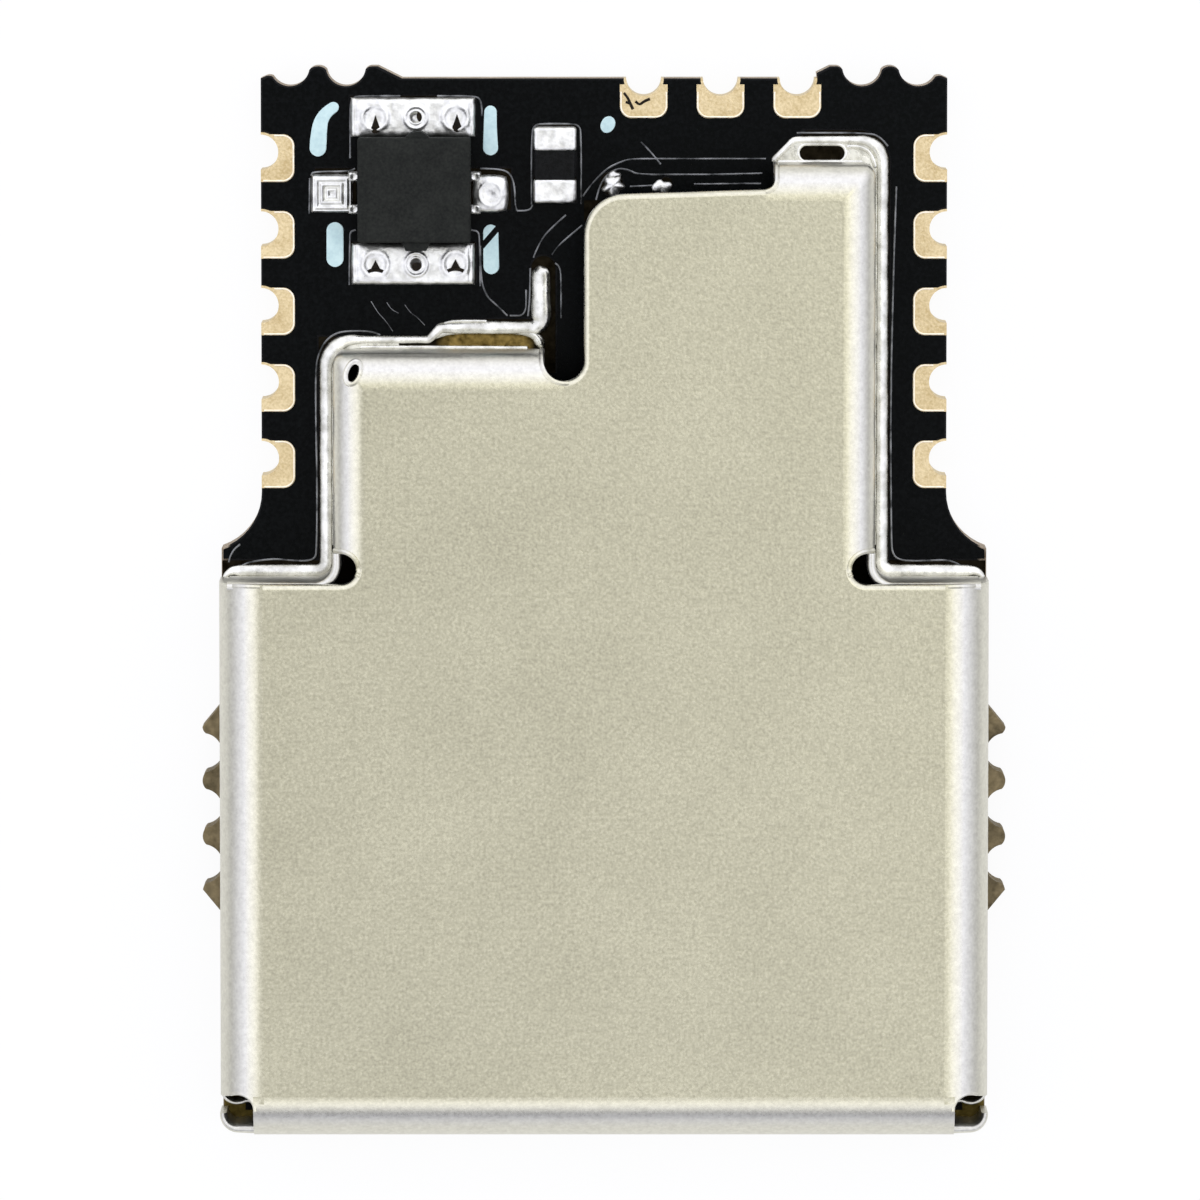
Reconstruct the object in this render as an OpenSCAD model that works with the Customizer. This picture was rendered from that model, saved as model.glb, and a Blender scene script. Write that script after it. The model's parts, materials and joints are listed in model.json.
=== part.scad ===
// Castellated radio module: black board, folded shield can and the parts it covers.
// Millimetres. +Z up, underside of the board on z = 0, +Y towards the row of three pads.

/* [Board] */
// Overall length of the board, top stubs included
board_l = 17.78; // [17:0.01:20]
// Width of the wide end, under the deep part of the shield can
board_w = 12.7; // [12:0.01:14]
// Distance by which the narrow end, with the castellated pads, is set in on each side
neck_step = 0.67; // [0.5:0.01:0.8]
// Thickness of the finished board
board_t = 0.8; // [0.5:0.05:1.6]
// Distance between the last side pad and the flare that leads to the wide end
flare_gap = 0.161; // [0.1:0.001:0.3]
// Radius of the routed flare between the two widths
flare_r = 1; // [0.97:0.01:1.3]
// Radius of the front corners
corner_r = 0.3; // [0.1:0.01:0.5]
// Thickness of the solder mask, and of the copper lands set in it
mask_t = 0.04; // [0.02:0.005:0.08]
// Bare laminate between the mask and the routed edge
mask_inset = 0.03; // [0.02:0.01:0.12]
// Bare laminate between the mask and the lands that are soldered
mask_gap = 0.03; // [0.03:0.01:0.12]

/* [Break-off stubs] */
// Radius of the perforation holes that the panel was broken along
bite_r = 0.33; // [0.25:0.01:0.4]
// Distance between perforation holes
bite_pitch = 0.93; // [0.85:0.01:1.05]
// Height of the top stubs over the top edge
top_stub_h = 0.2; // [0.1:0.01:0.3]
// Height of the side stubs over the side edges
side_stub_h = 0.33; // [0.2:0.01:0.4]
// Distance of each top stub's middle from the narrow end's side edge
top_stub_gap = 0.945; // [0.85:0.005:1.1]
// Distance of each side stub's middle from the front edge
side_stub_y = 5.435; // [4:0.005:6.5]
// Width of the flat tip beside the last perforation hole
stub_tip = 0.2; // [0.05:0.01:0.35]
// Length of the slope at a stub's end
stub_ramp = 0.4; // [0.2:0.01:0.6]

/* [Castellated pads] */
// Distance between pads
pad_pitch = 1.27; // [1.1:0.01:1.3]
// Number of pads on each side
side_pads = 5; // [2:1:5]
// Number of pads on the top edge
top_pads = 3; // [1:1:3]
// Distance from the top edge to the first side pad
side_pad_y = 1.22; // [1.1:0.01:1.5]
// Distance from the right edge to the last top pad
top_pad_x = 2.483; // [2.4:0.001:2.7]
// Width of a pad along the edge
pad_w = 0.79; // [0.72:0.01:0.9]
// Depth of a pad from the edge
pad_d = 0.56; // [0.45:0.01:0.7]
// Radius of a pad's inner corners
pad_round = 0.2; // [0.05:0.01:0.25]
// Radius of the drilled half-hole
hole_r = 0.33; // [0.25:0.01:0.35]
// Distance by which the lands sit nearer the front than their half-holes
copper_shift = 0.1; // [0.04:0.01:0.12]
// Thickness of the plating in the half-hole
plating_t = 0.04; // [0.02:0.005:0.06]

/* [Shield can] */
// Thickness of the sheet
sheet_t = 0.15; // [0.1:0.01:0.2]
// Height of the can over the board
can_h = 1.6; // [1.4:0.05:2.4]
// Outside radius of the folds round the narrow part
bend_r = 0.45; // [0.3:0.01:0.55]
// Outside radius of the folds along the wide part's sides and front
wide_bend_r = 0.65; // [0.5:0.01:0.75]
// Distance of the side walls from the board's side edges
can_side_gap = 0.02; // [0.01:0.01:0.1]
// Distance of the front wall from the board's front edge
can_front_gap = 0.03; // [0.02:0.01:0.1]
// Distance of the can's neck walls from the narrow end's side edges
can_neck_gap = 1.2; // [1.1:0.01:1.4]
// Distance of the shoulder edges from the last side pads
shoulder_gap = 1.575; // [1.5:0.005:1.8]
// Distance of the left top wall from the board's top edge
left_wall_y = 4.53; // [4.45:0.01:5]
// Distance of the right top wall from the board's top edge
right_wall_y = 1.4; // [1.3:0.01:1.5]
// Distance of the open top edge from the board's top edge
open_edge_y = 1.765; // [1.65:0.005:1.9]
// Distance of the open inner edge from the centre line
open_edge_x = 0.33; // [0.2:0.01:0.5]
// Distance of the right top wall's left end from the centre line
step_x = 2.8; // [2.5:0.01:3]
// Radius of the round corner between the two open edges
open_round = 0.68; // [0.4:0.01:0.8]
// Radius of the round inner corner beside the right top wall
step_round = 0.15; // [0.05:0.01:0.25]
// Radius of the notch that ends the left top wall
notch_r = 0.33; // [0.25:0.01:0.4]
// Depth of the notch, from the face of the left top wall
notch_depth = 0.384; // [0.36:0.002:0.42]
// Length of the relief slots at the shoulders
relief_l = 0.5; // [0.4:0.01:0.6]
// Distance of a relief slot's round end from the wall's face
relief_d = 0.36; // [0.28:0.01:0.4]
// Radius, on the outside, of the fold from a neck wall to its ear
ear_r = 0.3; // [0.25:0.01:0.36]
// Distance of an ear's outer face beyond the shoulder edge
ear_out = 0.02; // [0:0.01:0.05]
// Clearance between an ear and the sheet over it
ear_gap = 0.03; // [0.02:0.01:0.06]
// Height of the low ears at the front corners
corner_ear_h = 0.6; // [0.3:0.05:0.8]
// Radius of those ears in plan, on the outside
corner_ear_r = 0.3; // [0.2:0.01:0.45]
// Radius of the relief hole in the left rounded top corner
corner_hole_r = 0.12; // [0.06:0.01:0.13]
// Distance of that hole from the middle of the corner's fold, each way
corner_hole_d = 0.16; // [0.14:0.01:0.2]

/* [Ground land and solder] */
// Width of the land outside the can's walls
land_out = 0.25; // [0.24:0.01:0.3]
// Width of the land inside the face of the can's walls
land_in = 0.35; // [0.25:0.01:0.45]
// Width by which the land steps outwards beside the wall openings
land_step = 0.29; // [0.25:0.01:0.35]
// Radius of the solder bead
bead_r = 0.1; // [0.07:0.005:0.105]
// Clearance between a bead and the wall beside it
bead_gap = 0.02; // [0.01:0.005:0.03]
// Distance of the beads' outer ends at the shoulders from the side walls
bead_end_gap = 0.34; // [0.2:0.01:0.5]
// Length of the bead beside the notch
notch_bead_l = 1.05; // [0.8:0.01:1.2]
// Distance of that bead's middle from the open inner edge
notch_bead_x = 0.675; // [0.6:0.005:0.75]
// Radius of the bead's turns beside the wall openings
bead_turn_r = 0.2; // [0.15:0.01:0.25]
// Radius of the bead's turn round the right top corner
corner_turn_r = 0.42; // [0.3:0.01:0.5]
// Left end of the stepped land beside the notch, from the centre line
step_land_x = 2.72; // [2.5:0.01:3]
// Radius of the larger solder drop
blob_r = 0.19; // [0.12:0.01:0.22]
// Radius of the smaller solder drop
small_blob_r = 0.1; // [0.06:0.01:0.12]
// Distance of the drops from the open top edge
blob_out = 0.03; // [0:0.01:0.1]
// Distance of the larger drop from the open inner edge
blob_x = 0.45; // [0.2:0.01:0.6]
// Distance of the smaller drop from the open inner edge
small_blob_x = 1.36; // [1.1:0.01:1.6]

/* [Filter] */
// Width of the body
filter_w = 1.88; // [1.6:0.01:2]
// Length of the body
filter_l = 1.77; // [1.6:0.01:1.9]
// Height of the body
filter_h = 0.7; // [0.4:0.05:1.2]
// Distance of the filter's middle from the left edge
filter_x = 2.52; // [2.4:0.01:2.65]
// Distance of the filter's middle from the top edge
filter_y = 1.83; // [1.75:0.01:1.95]
// Width of the small tab in the middle of each end
filter_tab_w = 0.46; // [0.3:0.01:0.55]
// Distance by which a tab stands out from its end
filter_tab_d = 0.1; // [0.05:0.01:0.12]
// Width of the end terminals
end_term_w = 2.07; // [1.9:0.01:2.2]
// Depth of the end terminals
end_term_d = 0.65; // [0.5:0.01:0.7]
// Width of the side terminals
side_term_w = 0.68; // [0.5:0.01:0.8]
// Depth of the side terminals
side_term_d = 0.68; // [0.5:0.01:0.72]
// Thickness of the solder on the terminals
term_t = 0.12; // [0.08:0.01:0.2]
// Radius of the dimples over the terminals' vias
dimple_r = 0.19; // [0.1:0.01:0.22]
// Distance between dimples
dimple_pitch = 0.67; // [0.5:0.01:0.7]
// Radius of the via that stays open in the middle dimple
via_r = 0.06; // [0.04:0.01:0.08]

/* [Chip resistor] */
// Length over the end caps
chip_l = 1.28; // [1:0.01:1.5]
// Width
chip_w = 0.7; // [0.5:0.01:0.8]
// Height
chip_h = 0.35; // [0.25:0.01:0.5]
// Length of an end cap
chip_cap = 0.42; // [0.2:0.01:0.5]
// Distance from the filter's middle, across
chip_x = 2.35; // [2.3:0.01:2.5]
// Distance of the chip's middle from the top edge
chip_y = 1.41; // [1.1:0.01:1.7]

/* [Print] */
// Width of a printed stroke
stroke_w = 0.24; // [0.15:0.01:0.26]
// Length of a printed stroke
stroke_l = 0.78; // [0.5:0.01:0.8]
// Thickness of the ink
ink_t = 0.02; // [0.01:0.005:0.03]
// Distance of the strokes' middle from the filter's middle, across
stroke_x = 1.26; // [1.22:0.01:1.3]
// Distance of the strokes' middle from the filter's middle, along
stroke_y = 0.97; // [0.9:0.01:1.02]
// Distance by which the lower left stroke is set outwards and upwards
stroke_shift = 0.08; // [0:0.01:0.1]
// Angle by which the hooked stroke leans
hook_lean = 6; // [0:1:10]
// Angle by which the hook's end turns
hook_turn = 45; // [30:1:60]
// Length of the hook's end
hook_l = 0.48; // [0.3:0.01:0.5]
// Length of the short mark beside the chip
dot_l = 0.32; // [0.27:0.01:0.4]
// Angle by which the short mark leans
dot_lean = 15; // [0:1:20]

/* [Parts under the can] */
// Side of the radio chip
radio_s = 4; // [3:0.1:4.2]
// Height of the radio chip over its leads
radio_h = 0.8; // [0.5:0.05:0.9]
// Distance between the radio chip's leads
radio_pitch = 0.5; // [0.4:0.05:0.5]
// Side of the antenna switch
switch_s = 1.5; // [1.2:0.1:1.7]
// Height of the antenna switch over its leads
switch_h = 0.5; // [0.4:0.05:0.8]
// Distance between the antenna switch's leads
switch_pitch = 0.5; // [0.4:0.05:0.5]
// Thickness of the leadless chips' leads
lead_t = 0.05; // [0.03:0.01:0.08]
// Width of a lead
lead_w = 0.25; // [0.2:0.01:0.3]
// Length of a lead
lead_l = 0.4; // [0.3:0.01:0.45]
// Distance between a chip's leads and its middle pad
lead_clear = 0.4; // [0.2:0.01:0.5]
// Length of the oscillator
osc_l = 2; // [1.6:0.1:2.2]
// Width of the oscillator
osc_w = 1.6; // [1.2:0.1:1.8]
// Height of the oscillator's ceramic base
osc_base_h = 0.5; // [0.3:0.05:0.7]
// Thickness of the oscillator's lid
osc_lid_t = 0.2; // [0.1:0.05:0.3]
// Width of the base's rim round the lid
osc_rim = 0.12; // [0.05:0.01:0.2]
// Length of the lands under the oscillator
osc_land = 0.5; // [0.3:0.05:0.7]
// Length of the power inductor
coil_l = 2; // [1.6:0.1:2.4]
// Width of the power inductor
coil_w = 1.6; // [1.2:0.1:1.8]
// Height of the power inductor
coil_h = 0.9; // [0.6:0.05:1]
// Length of the power inductor's terminals
coil_cap = 0.4; // [0.2:0.05:0.5]
// Length of the small two-terminal parts
small_l = 1; // [0.8:0.05:1.1]
// Width of the small two-terminal parts
small_w = 0.5; // [0.4:0.05:0.55]
// Height of the small two-terminal parts
small_h = 0.5; // [0.3:0.05:0.6]
// Length of the small parts' end caps
small_cap = 0.25; // [0.15:0.01:0.3]

/* [Hidden] */
$fn = 64;

// Length by which a cut runs past the face that it opens
past = 1;
SIDES = [-1, 1];

// Shift of the lands from their half-holes, as a pad at a left-hand edge is drawn
SIDE_SHIFT = [0, -copper_shift];
TOP_SHIFT = [copper_shift, 0];

// Edges of the board
front_y = -board_l / 2;
top_y = board_l / 2 - top_stub_h;
side_x = board_w / 2;
neck_x = side_x - neck_step;
top_stub_x = neck_x - top_stub_gap;
last_pad_y = top_y - side_pad_y - (side_pads - 1) * pad_pitch - pad_w / 2;
flare_y = last_pad_y - flare_gap;
wide_y = flare_y - sqrt(pow(flare_r, 2) - pow(flare_r - neck_step, 2));

// Outer faces of the can's walls, and its open edges
wall_x = side_x - can_side_gap;
wall_front = front_y + can_front_gap;
neck_wall_x = neck_x - can_neck_gap;
flat_x = wall_x - wide_bend_r;
shoulder = last_pad_y - shoulder_gap;
left_wall = top_y - left_wall_y;
right_wall = top_y - right_wall_y;
open_edge = top_y - open_edge_y;
inner_edge = -open_edge_x;
upright_h = can_h - bend_r;
ear_face = shoulder + ear_out;
ear_turn_y = ear_face + ear_r;
ear_h = can_h - sheet_t - ear_gap;

// Stepped outer edges of the ground land, and the middle of the bead on it
left_step = left_wall + land_out + land_step;
right_step = right_wall + land_out + land_step;
notch_land_x = inner_edge - notch_bead_x;
notch_land_w = 4 * bead_r;
bead_off = bead_gap + bead_r;
jog_angle = 45;
jog_run = (land_step - 2 * bead_turn_r * (1 - cos(jog_angle))) / sin(jog_angle);
jog_l = jog_run * cos(jog_angle) + 2 * bead_turn_r * sin(jog_angle);

// Solder drops: place along X, place along Y, radius
BLOBS = [[inner_edge + blob_x, open_edge + blob_out, blob_r],
    [inner_edge + small_blob_x, open_edge + blob_out, small_blob_r]];

// Middles of the parts outside the can
filter_at = [-neck_x + filter_x, top_y - filter_y];
chip_at = [filter_at[0] + chip_x, top_y - chip_y];

// Places under the can, as shares of its wide part's half-sizes or of its neck's sizes
function wide_spot(across, along) = [across * wall_x,
    (wall_front + shoulder) / 2 + along * (shoulder - wall_front) / 2];
function neck_spot(across, along) = [across * neck_wall_x, shoulder + along * (open_edge - shoulder)];

// Middles of the parts under the can
radio_at = wide_spot(0.1, 0.32);
osc_at = wide_spot(-0.63, 0.2);
coil_at = wide_spot(0.73, 0.36);
switch_at = neck_spot(0.36, 0.46);
INDUCTOR_SPOTS = [neck_spot(-0.2, 0.15), neck_spot(0.16, 0.15), neck_spot(0.52, 0.15),
    neck_spot(0.74, 0.46)];
CAPACITOR_SPOTS = [neck_spot(-0.7, 0.15), neck_spot(-0.7, -0.04), neck_spot(-0.46, -0.08),
    neck_spot(0.73, -0.08), wide_spot(-0.71, -0.27), wide_spot(-0.42, -0.27),
    wide_spot(-0.13, -0.36), wide_spot(0.13, -0.36), wide_spot(0.39, -0.36), wide_spot(0.71, -0.09)];

// Board

// Outline of the board, drawn inside its routed edges by inset
module board_outline(inset = 0) {
    difference() {
        union() {
            translate([-neck_x + inset, flare_y - past])
                square([2 * (neck_x - inset), top_y - inset - flare_y + past]);
            wide_end(inset);
            both_sides() {
                top_stub(inset);
                side_stub(inset);
            }
        }
        for (s = SIDES) {
            translate([s * (neck_x + flare_r), flare_y])
                circle(flare_r + inset);
            for (i = SIDES)
                translate([s * (top_stub_x + i * bite_pitch / 2), top_y + top_stub_h])
                    circle(bite_r + inset);
            for (i = [-1:1])
                translate([s * (side_x + side_stub_h), front_y + side_stub_y + i * bite_pitch])
                    circle(bite_r + inset);
        }
    }
}

// Wide end of the outline, with round front corners
module wide_end(inset) {
    half_w = side_x - inset;
    bottom = front_y + inset;
    translate([-half_w, bottom + corner_r])
        square([2 * half_w, flare_y - bottom - corner_r]);
    translate([-half_w + corner_r, bottom])
        square([2 * (half_w - corner_r), 2 * corner_r]);
    for (s = SIDES)
        translate([s * (half_w - corner_r), bottom + corner_r])
            circle(corner_r);
}

// Copies a shape drawn on the right to the left as well
module both_sides() {
    children();
    mirror([1, 0])
        children();
}

// Remains of a panel tab on the top edge; its outer slope ends at the board's corner
module top_stub(inset) {
    flat_in = top_stub_x - bite_pitch / 2 - bite_r - stub_tip + inset;
    flat_out = top_stub_x + bite_pitch / 2;
    foot = flat_in - stub_ramp;
    edge = top_y - inset;
    polygon([[foot, edge - past], [neck_x - inset, edge - past], [neck_x - inset, edge],
        [flat_out, edge + top_stub_h], [flat_in, edge + top_stub_h], [foot, edge]]);
}

// Remains of a panel tab on a side edge
module side_stub(inset) {
    middle = front_y + side_stub_y;
    flat = bite_pitch + bite_r + stub_tip / 2 - inset;
    foot = flat + stub_ramp;
    edge = side_x - inset;
    polygon([[edge - past, middle - foot], [edge, middle - foot], [edge + side_stub_h, middle - flat],
        [edge + side_stub_h, middle + flat], [edge, middle + foot], [edge - past, middle + foot]]);
}

// Places one copy of a pad, drawn at a left-hand edge, at each place of a side
module at_left_pads() {
    for (i = [0:side_pads - 1])
        translate([-neck_x, top_y - side_pad_y - i * pad_pitch])
            children();
}

module at_right_pads() {
    mirror([1, 0, 0])
        at_left_pads()
            children();
}

module at_top_pads() {
    for (i = [0:top_pads - 1])
        translate([neck_x - top_pad_x - i * pad_pitch, top_y])
            rotate(-90)
                children();
}

module at_all_pads() {
    at_left_pads() children();
    at_right_pads() children();
    at_top_pads() children();
}

// Land of one pad, moved by off: its edge lies on x = 0, the board on the +X side
module pad_shape(off) {
    translate(off) {
        translate([0, -pad_w / 2])
            square([pad_d - pad_round, pad_w]);
        translate([0, pad_round - pad_w / 2])
            square([pad_d, pad_w - 2 * pad_round]);
        for (s = SIDES)
            translate([pad_d - pad_round, s * (pad_w / 2 - pad_round)])
                circle(pad_round);
    }
}

// Window in the mask round one land and its half-hole
module pad_window(off) {
    pad_shape(off);
    circle(hole_r + mask_gap);
}

// One plated half-hole with its top and bottom lands, which are moved by off
module castellated_pad(off) {
    difference() {
        union() {
            linear_extrude(mask_t)
                pad_shape(off);
            translate([0, 0, board_t - mask_t])
                linear_extrude(mask_t)
                    pad_shape(off);
            cylinder(r = hole_r, h = board_t);
        }
        translate([0, 0, -past])
            cylinder(r = hole_r - plating_t, h = board_t + 2 * past);
        translate([-2 * hole_r, -pad_w, -past])
            cube([2 * hole_r, 2 * pad_w, board_t + 2 * past]);
    }
}

module circuit_board() {
    color([0.42, 0.34, 0.2])
        translate([0, 0, mask_t])
            linear_extrude(board_t - 2 * mask_t)
                difference() {
                    board_outline();
                    at_all_pads() circle(hole_r);
                }
}

// Black coat with windows for the pads; the top coat also clears the soldered lands
module mask_sheet(on_top) {
    linear_extrude(mask_t)
        difference() {
            board_outline(mask_inset);
            at_left_pads() pad_window(SIDE_SHIFT);
            at_right_pads() pad_window(SIDE_SHIFT);
            at_top_pads() pad_window(TOP_SHIFT);
            if (on_top) {
                ground_land_shape(mask_gap);
                side_stub_strip();
                visible_land_shapes(mask_gap);
                hidden_land_shapes();
            }
        }
}

module solder_mask_top() {
    color([0.07, 0.08, 0.075])
        translate([0, 0, board_t - mask_t])
            mask_sheet(true);
}

module solder_mask_bottom() {
    color([0.07, 0.08, 0.075])
        mask_sheet(false);
}

module castellated_pads_left() {
    color([0.86, 0.74, 0.46])
        at_left_pads() castellated_pad(SIDE_SHIFT);
}

module castellated_pads_right() {
    color([0.86, 0.74, 0.46])
        at_right_pads() castellated_pad(SIDE_SHIFT);
}

module castellated_pads_top() {
    color([0.86, 0.74, 0.46])
        at_top_pads() castellated_pad(TOP_SHIFT);
}

// Rectangle given by two opposite corners
module span(a, b) {
    translate([min(a[0], b[0]), min(a[1], b[1])])
        square([abs(b[0] - a[0]), abs(b[1] - a[1])]);
}

// Ground land under the can's walls

// Land in plan, grown by g on its outer side
module ground_land_shape(g = 0) {
    out = land_out + g;
    inner_x = neck_wall_x - land_in;
    wide_frame(g);
    span([-neck_wall_x - out, shoulder], [-inner_x, left_wall + out]);
    span([inner_x, shoulder], [neck_wall_x + out, right_wall]);
    span([-inner_x, left_wall - land_in], [notch_land_x, left_wall + out]);
    stepped_left_land(g);
    stepped_right_land(g);
    open_edge_land(g);
}

// Part of the land under the wide end: it reaches the routed edge on three sides
module wide_frame(g) {
    top = ear_face + land_out + g;
    difference() {
        intersection() {
            board_outline(mask_inset / 2);
            span([-2 * side_x, front_y], [2 * side_x, top]);
        }
        side_stub_strip();
        span([-wall_x + land_in, wall_front + land_in], [wall_x - land_in, shoulder - land_in]);
        span([-neck_wall_x + land_in, shoulder - 2 * land_in], [neck_wall_x - land_in, top + past]);
    }
}

// Ground beyond the side edges, where the stubs stand out
module side_stub_strip() {
    for (s = SIDES)
        span([s * (side_x - mask_inset / 2), front_y - past], [s * 2 * side_x, wide_y]);
}

// Land that steps outwards beside the left top wall and turns up along the notch
module stepped_left_land(g) {
    top = left_step + g;
    right = notch_land_x + notch_land_w / 2 + g;
    polygon([[-step_land_x - g, left_wall - land_in], [right, left_wall - land_in], [right, top],
        [-step_land_x + land_step - g, top], [-step_land_x - g, left_wall + land_out]]);
    translate([notch_land_x, left_step + notch_bead_l - notch_land_w / 2]) {
        circle(notch_land_w / 2 + g);
        span([-notch_land_w / 2 - g, -notch_bead_l], [notch_land_w / 2 + g, 0]);
    }
}

// Land that steps outwards beside the right top wall, with a round outer corner
module stepped_right_land(g) {
    top = right_step + g;
    right = neck_wall_x + land_out + g;
    round_r = corner_turn_r + bead_off + g;
    left = step_x - g;
    polygon([[left, right_wall - land_in], [right, right_wall - land_in], [right, top - round_r],
        [right - round_r, top], [left + land_out + land_step - g, top], [left, right_wall + g]]);
    translate([right - round_r, top - round_r])
        circle(round_r);
}

// Land under the can's open top edge, with a round spot for each solder drop
module open_edge_land(g) {
    span([inner_edge, open_edge - land_out - land_in], [step_x, open_edge - land_out]);
    for (b = BLOBS)
        translate([b[0], b[1]])
            circle(b[2] + g);
}

module ground_land() {
    color([0.82, 0.7, 0.44])
        translate([0, 0, board_t - mask_t])
            linear_extrude(mask_t)
                ground_land_shape();
}

// Solder on the ground land

module half_disc(r) {
    intersection() {
        circle(r);
        translate([-r, 0])
            square([2 * r, r]);
    }
}

// Half-round bead that runs l along +X
module bead_run(l, r) {
    rotate([90, 0, 90])
        linear_extrude(l)
            half_disc(r);
}

// Bead that leaves the origin along +X and follows a list of [run, turn, radius of the turn]
module bead_route(steps, r, i = 0) {
    run = steps[i][0];
    turn = steps[i][1];
    turn_r = steps[i][2];
    side = sign(turn);
    bead_run(run, r);
    if (turn != 0)
        translate([run, 0, 0]) {
            translate([0, side * turn_r, 0])
                rotate(side > 0 ? -90 : 90 + turn)
                    rotate_extrude(angle = abs(turn))
                        translate([turn_r, 0])
                            half_disc(r);
            translate([turn_r * sin(abs(turn)), side * turn_r * (1 - cos(turn)), 0])
                rotate(turn)
                    bead_route(steps, r, i + 1);
        }
}

// First step of a bead: along the shoulder, then up to the neck wall
SHOULDER_STEP = [wall_x - bead_end_gap - neck_wall_x - ear_r, 90, ear_r - bead_off];

// Bead round the left wall, along the stepped land and up beside the notch
module left_bead() {
    turn_x = -neck_wall_x + bend_r;
    strip_x = -step_land_x + jog_l;
    steps = [
        SHOULDER_STEP,
        [left_wall - bend_r - ear_turn_y, -90, bend_r + bead_off],
        [-step_land_x - turn_x, jog_angle, bead_turn_r],
        [jog_run, -jog_angle, bead_turn_r],
        [notch_land_x - bead_turn_r - strip_x, 90, bead_turn_r],
        [notch_bead_l - bead_turn_r, 0, 0]
    ];
    translate([-wall_x + bead_end_gap, ear_face + bead_off, 0])
        bead_route(steps, bead_r);
}

// Bead round the right wall and along its stepped land, drawn on the left and mirrored
module right_bead() {
    strip_y = right_wall + bead_off + land_step;
    strip_x = neck_wall_x + bead_off - corner_turn_r;
    steps = [
        SHOULDER_STEP,
        [strip_y - corner_turn_r - ear_turn_y, -90, corner_turn_r],
        [strip_x - step_x - jog_l, -jog_angle, bead_turn_r],
        [jog_run, 0, 0]
    ];
    mirror([1, 0, 0])
        translate([-wall_x + bead_end_gap, ear_face + bead_off, 0])
            bead_route(steps, bead_r);
}

module shield_solder() {
    color([0.82, 0.83, 0.83])
        translate([0, 0, board_t]) {
            left_bead();
            right_bead();
        }
}

// Drops of solder, each a cap of a sphere
module solder_blobs() {
    color([0.85, 0.86, 0.86])
        for (b = BLOBS)
            translate([b[0], b[1], board_t])
                rotate_extrude()
                    intersection() {
                        half_disc(b[2]);
                        square(b[2]);
                    }
}

// Shield can

// Section of a folded wall: the fold's middle on x = 0, the outer face at x = r
module wall_section(r) {
    translate([r - sheet_t, 0])
        square([sheet_t, can_h - r]);
    translate([0, can_h - r])
        intersection() {
            difference() {
                circle(r);
                circle(r - sheet_t);
            }
            square(r);
        }
}

// Folded wall that runs l along +X, with its outer face on y = 0 and the can's inside above
module folded_wall(l, r) {
    translate([l, r, 0])
        rotate([90, 0, -90])
            linear_extrude(l)
                wall_section(r);
}

// Quarter of a rounded corner between two folded walls, in the third quadrant
module rounded_corner() {
    rotate(180)
        rotate_extrude(angle = 90)
            wall_section(bend_r);
}

// Upright quarter turn of the sheet, in the third quadrant, with r its outer radius
module upright_turn(r, h) {
    intersection() {
        difference() {
            cylinder(r = r, h = h);
            translate([0, 0, -past])
                cylinder(r = r - sheet_t, h = h + 2 * past);
        }
        translate([-past, -past, 0])
            cube([past, past, h]);
    }
}

// Flat top of the can, inside its fold lines
module can_top_shape() {
    flat_neck = neck_wall_x - bend_r;
    difference() {
        union() {
            span([-flat_x, wall_front + wide_bend_r], [flat_x, shoulder]);
            span([-flat_neck, shoulder], [inner_edge, left_wall - bend_r]);
            span([inner_edge, shoulder], [flat_neck, open_edge]);
            span([step_x, shoulder], [flat_neck, right_wall - bend_r]);
            inner_round([step_x, open_edge]);
        }
        difference() {
            span([inner_edge - past, open_edge - open_round],
                [inner_edge + open_round, open_edge + past]);
            translate([inner_edge + open_round, open_edge - open_round])
                circle(open_round);
        }
    }
}

// Fillet in the inner corner at p, on its upper left side
module inner_round(p) {
    translate([p[0] - step_round, p[1]])
        difference() {
            square(step_round);
            translate([0, step_round])
                circle(step_round);
        }
}

// Left half of the shoulder: the neck wall's foot, its ear, and the sheet beside the relief slot
module shoulder_ear() {
    ear_x = -neck_wall_x - ear_r;
    translate([-neck_wall_x, ear_turn_y, 0])
        cube([sheet_t, shoulder + relief_l - ear_turn_y, ear_h]);
    translate([ear_x, ear_turn_y, 0])
        rotate(90)
            upright_turn(ear_r + sheet_t, ear_h);
    translate([-flat_x, ear_face - sheet_t, 0])
        cube([ear_x + flat_x, sheet_t, ear_h]);
}

// Upright prism of a relief slot in the fold of a left-hand neck wall
module relief_slot() {
    r = relief_l / 2;
    translate([-neck_wall_x + relief_d - r, shoulder + r, -past])
        linear_extrude(can_h + 2 * past) {
            circle(r);
            span([-relief_d - past, -r], [0, r]);
        }
}

// Sheet of the flat top that fills the fold's place beside a relief slot
module relief_sheet() {
    translate([-neck_wall_x + relief_d - relief_l / 2, shoulder, can_h - sheet_t])
        cube([bend_r - relief_d + relief_l / 2, relief_l / 2, sheet_t]);
}

// Neck wall on the left that ends at height y, with its ear
module neck_wall(y) {
    difference() {
        union() {
            translate([-neck_wall_x, y - bend_r, 0])
                rotate(-90)
                    folded_wall(y - bend_r - shoulder - relief_l / 2, bend_r);
            relief_sheet();
        }
        relief_slot();
    }
    shoulder_ear();
}

// Rounded top corner on the left at height y
module top_corner(y) {
    translate([-neck_wall_x + bend_r, y - bend_r, 0])
        rotate(-90)
            rounded_corner();
}

// Relief hole in the left top corner
module corner_hole() {
    inset = bend_r - corner_hole_d;
    translate([-neck_wall_x + inset, left_wall - inset, upright_h])
        cylinder(r = corner_hole_r, h = can_h);
}

// Top wall that faces +Y at height y, between two places along X
module top_wall(y, x0, x1) {
    translate([x1, y, 0])
        rotate(180)
            folded_wall(x1 - x0, bend_r);
}

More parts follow.
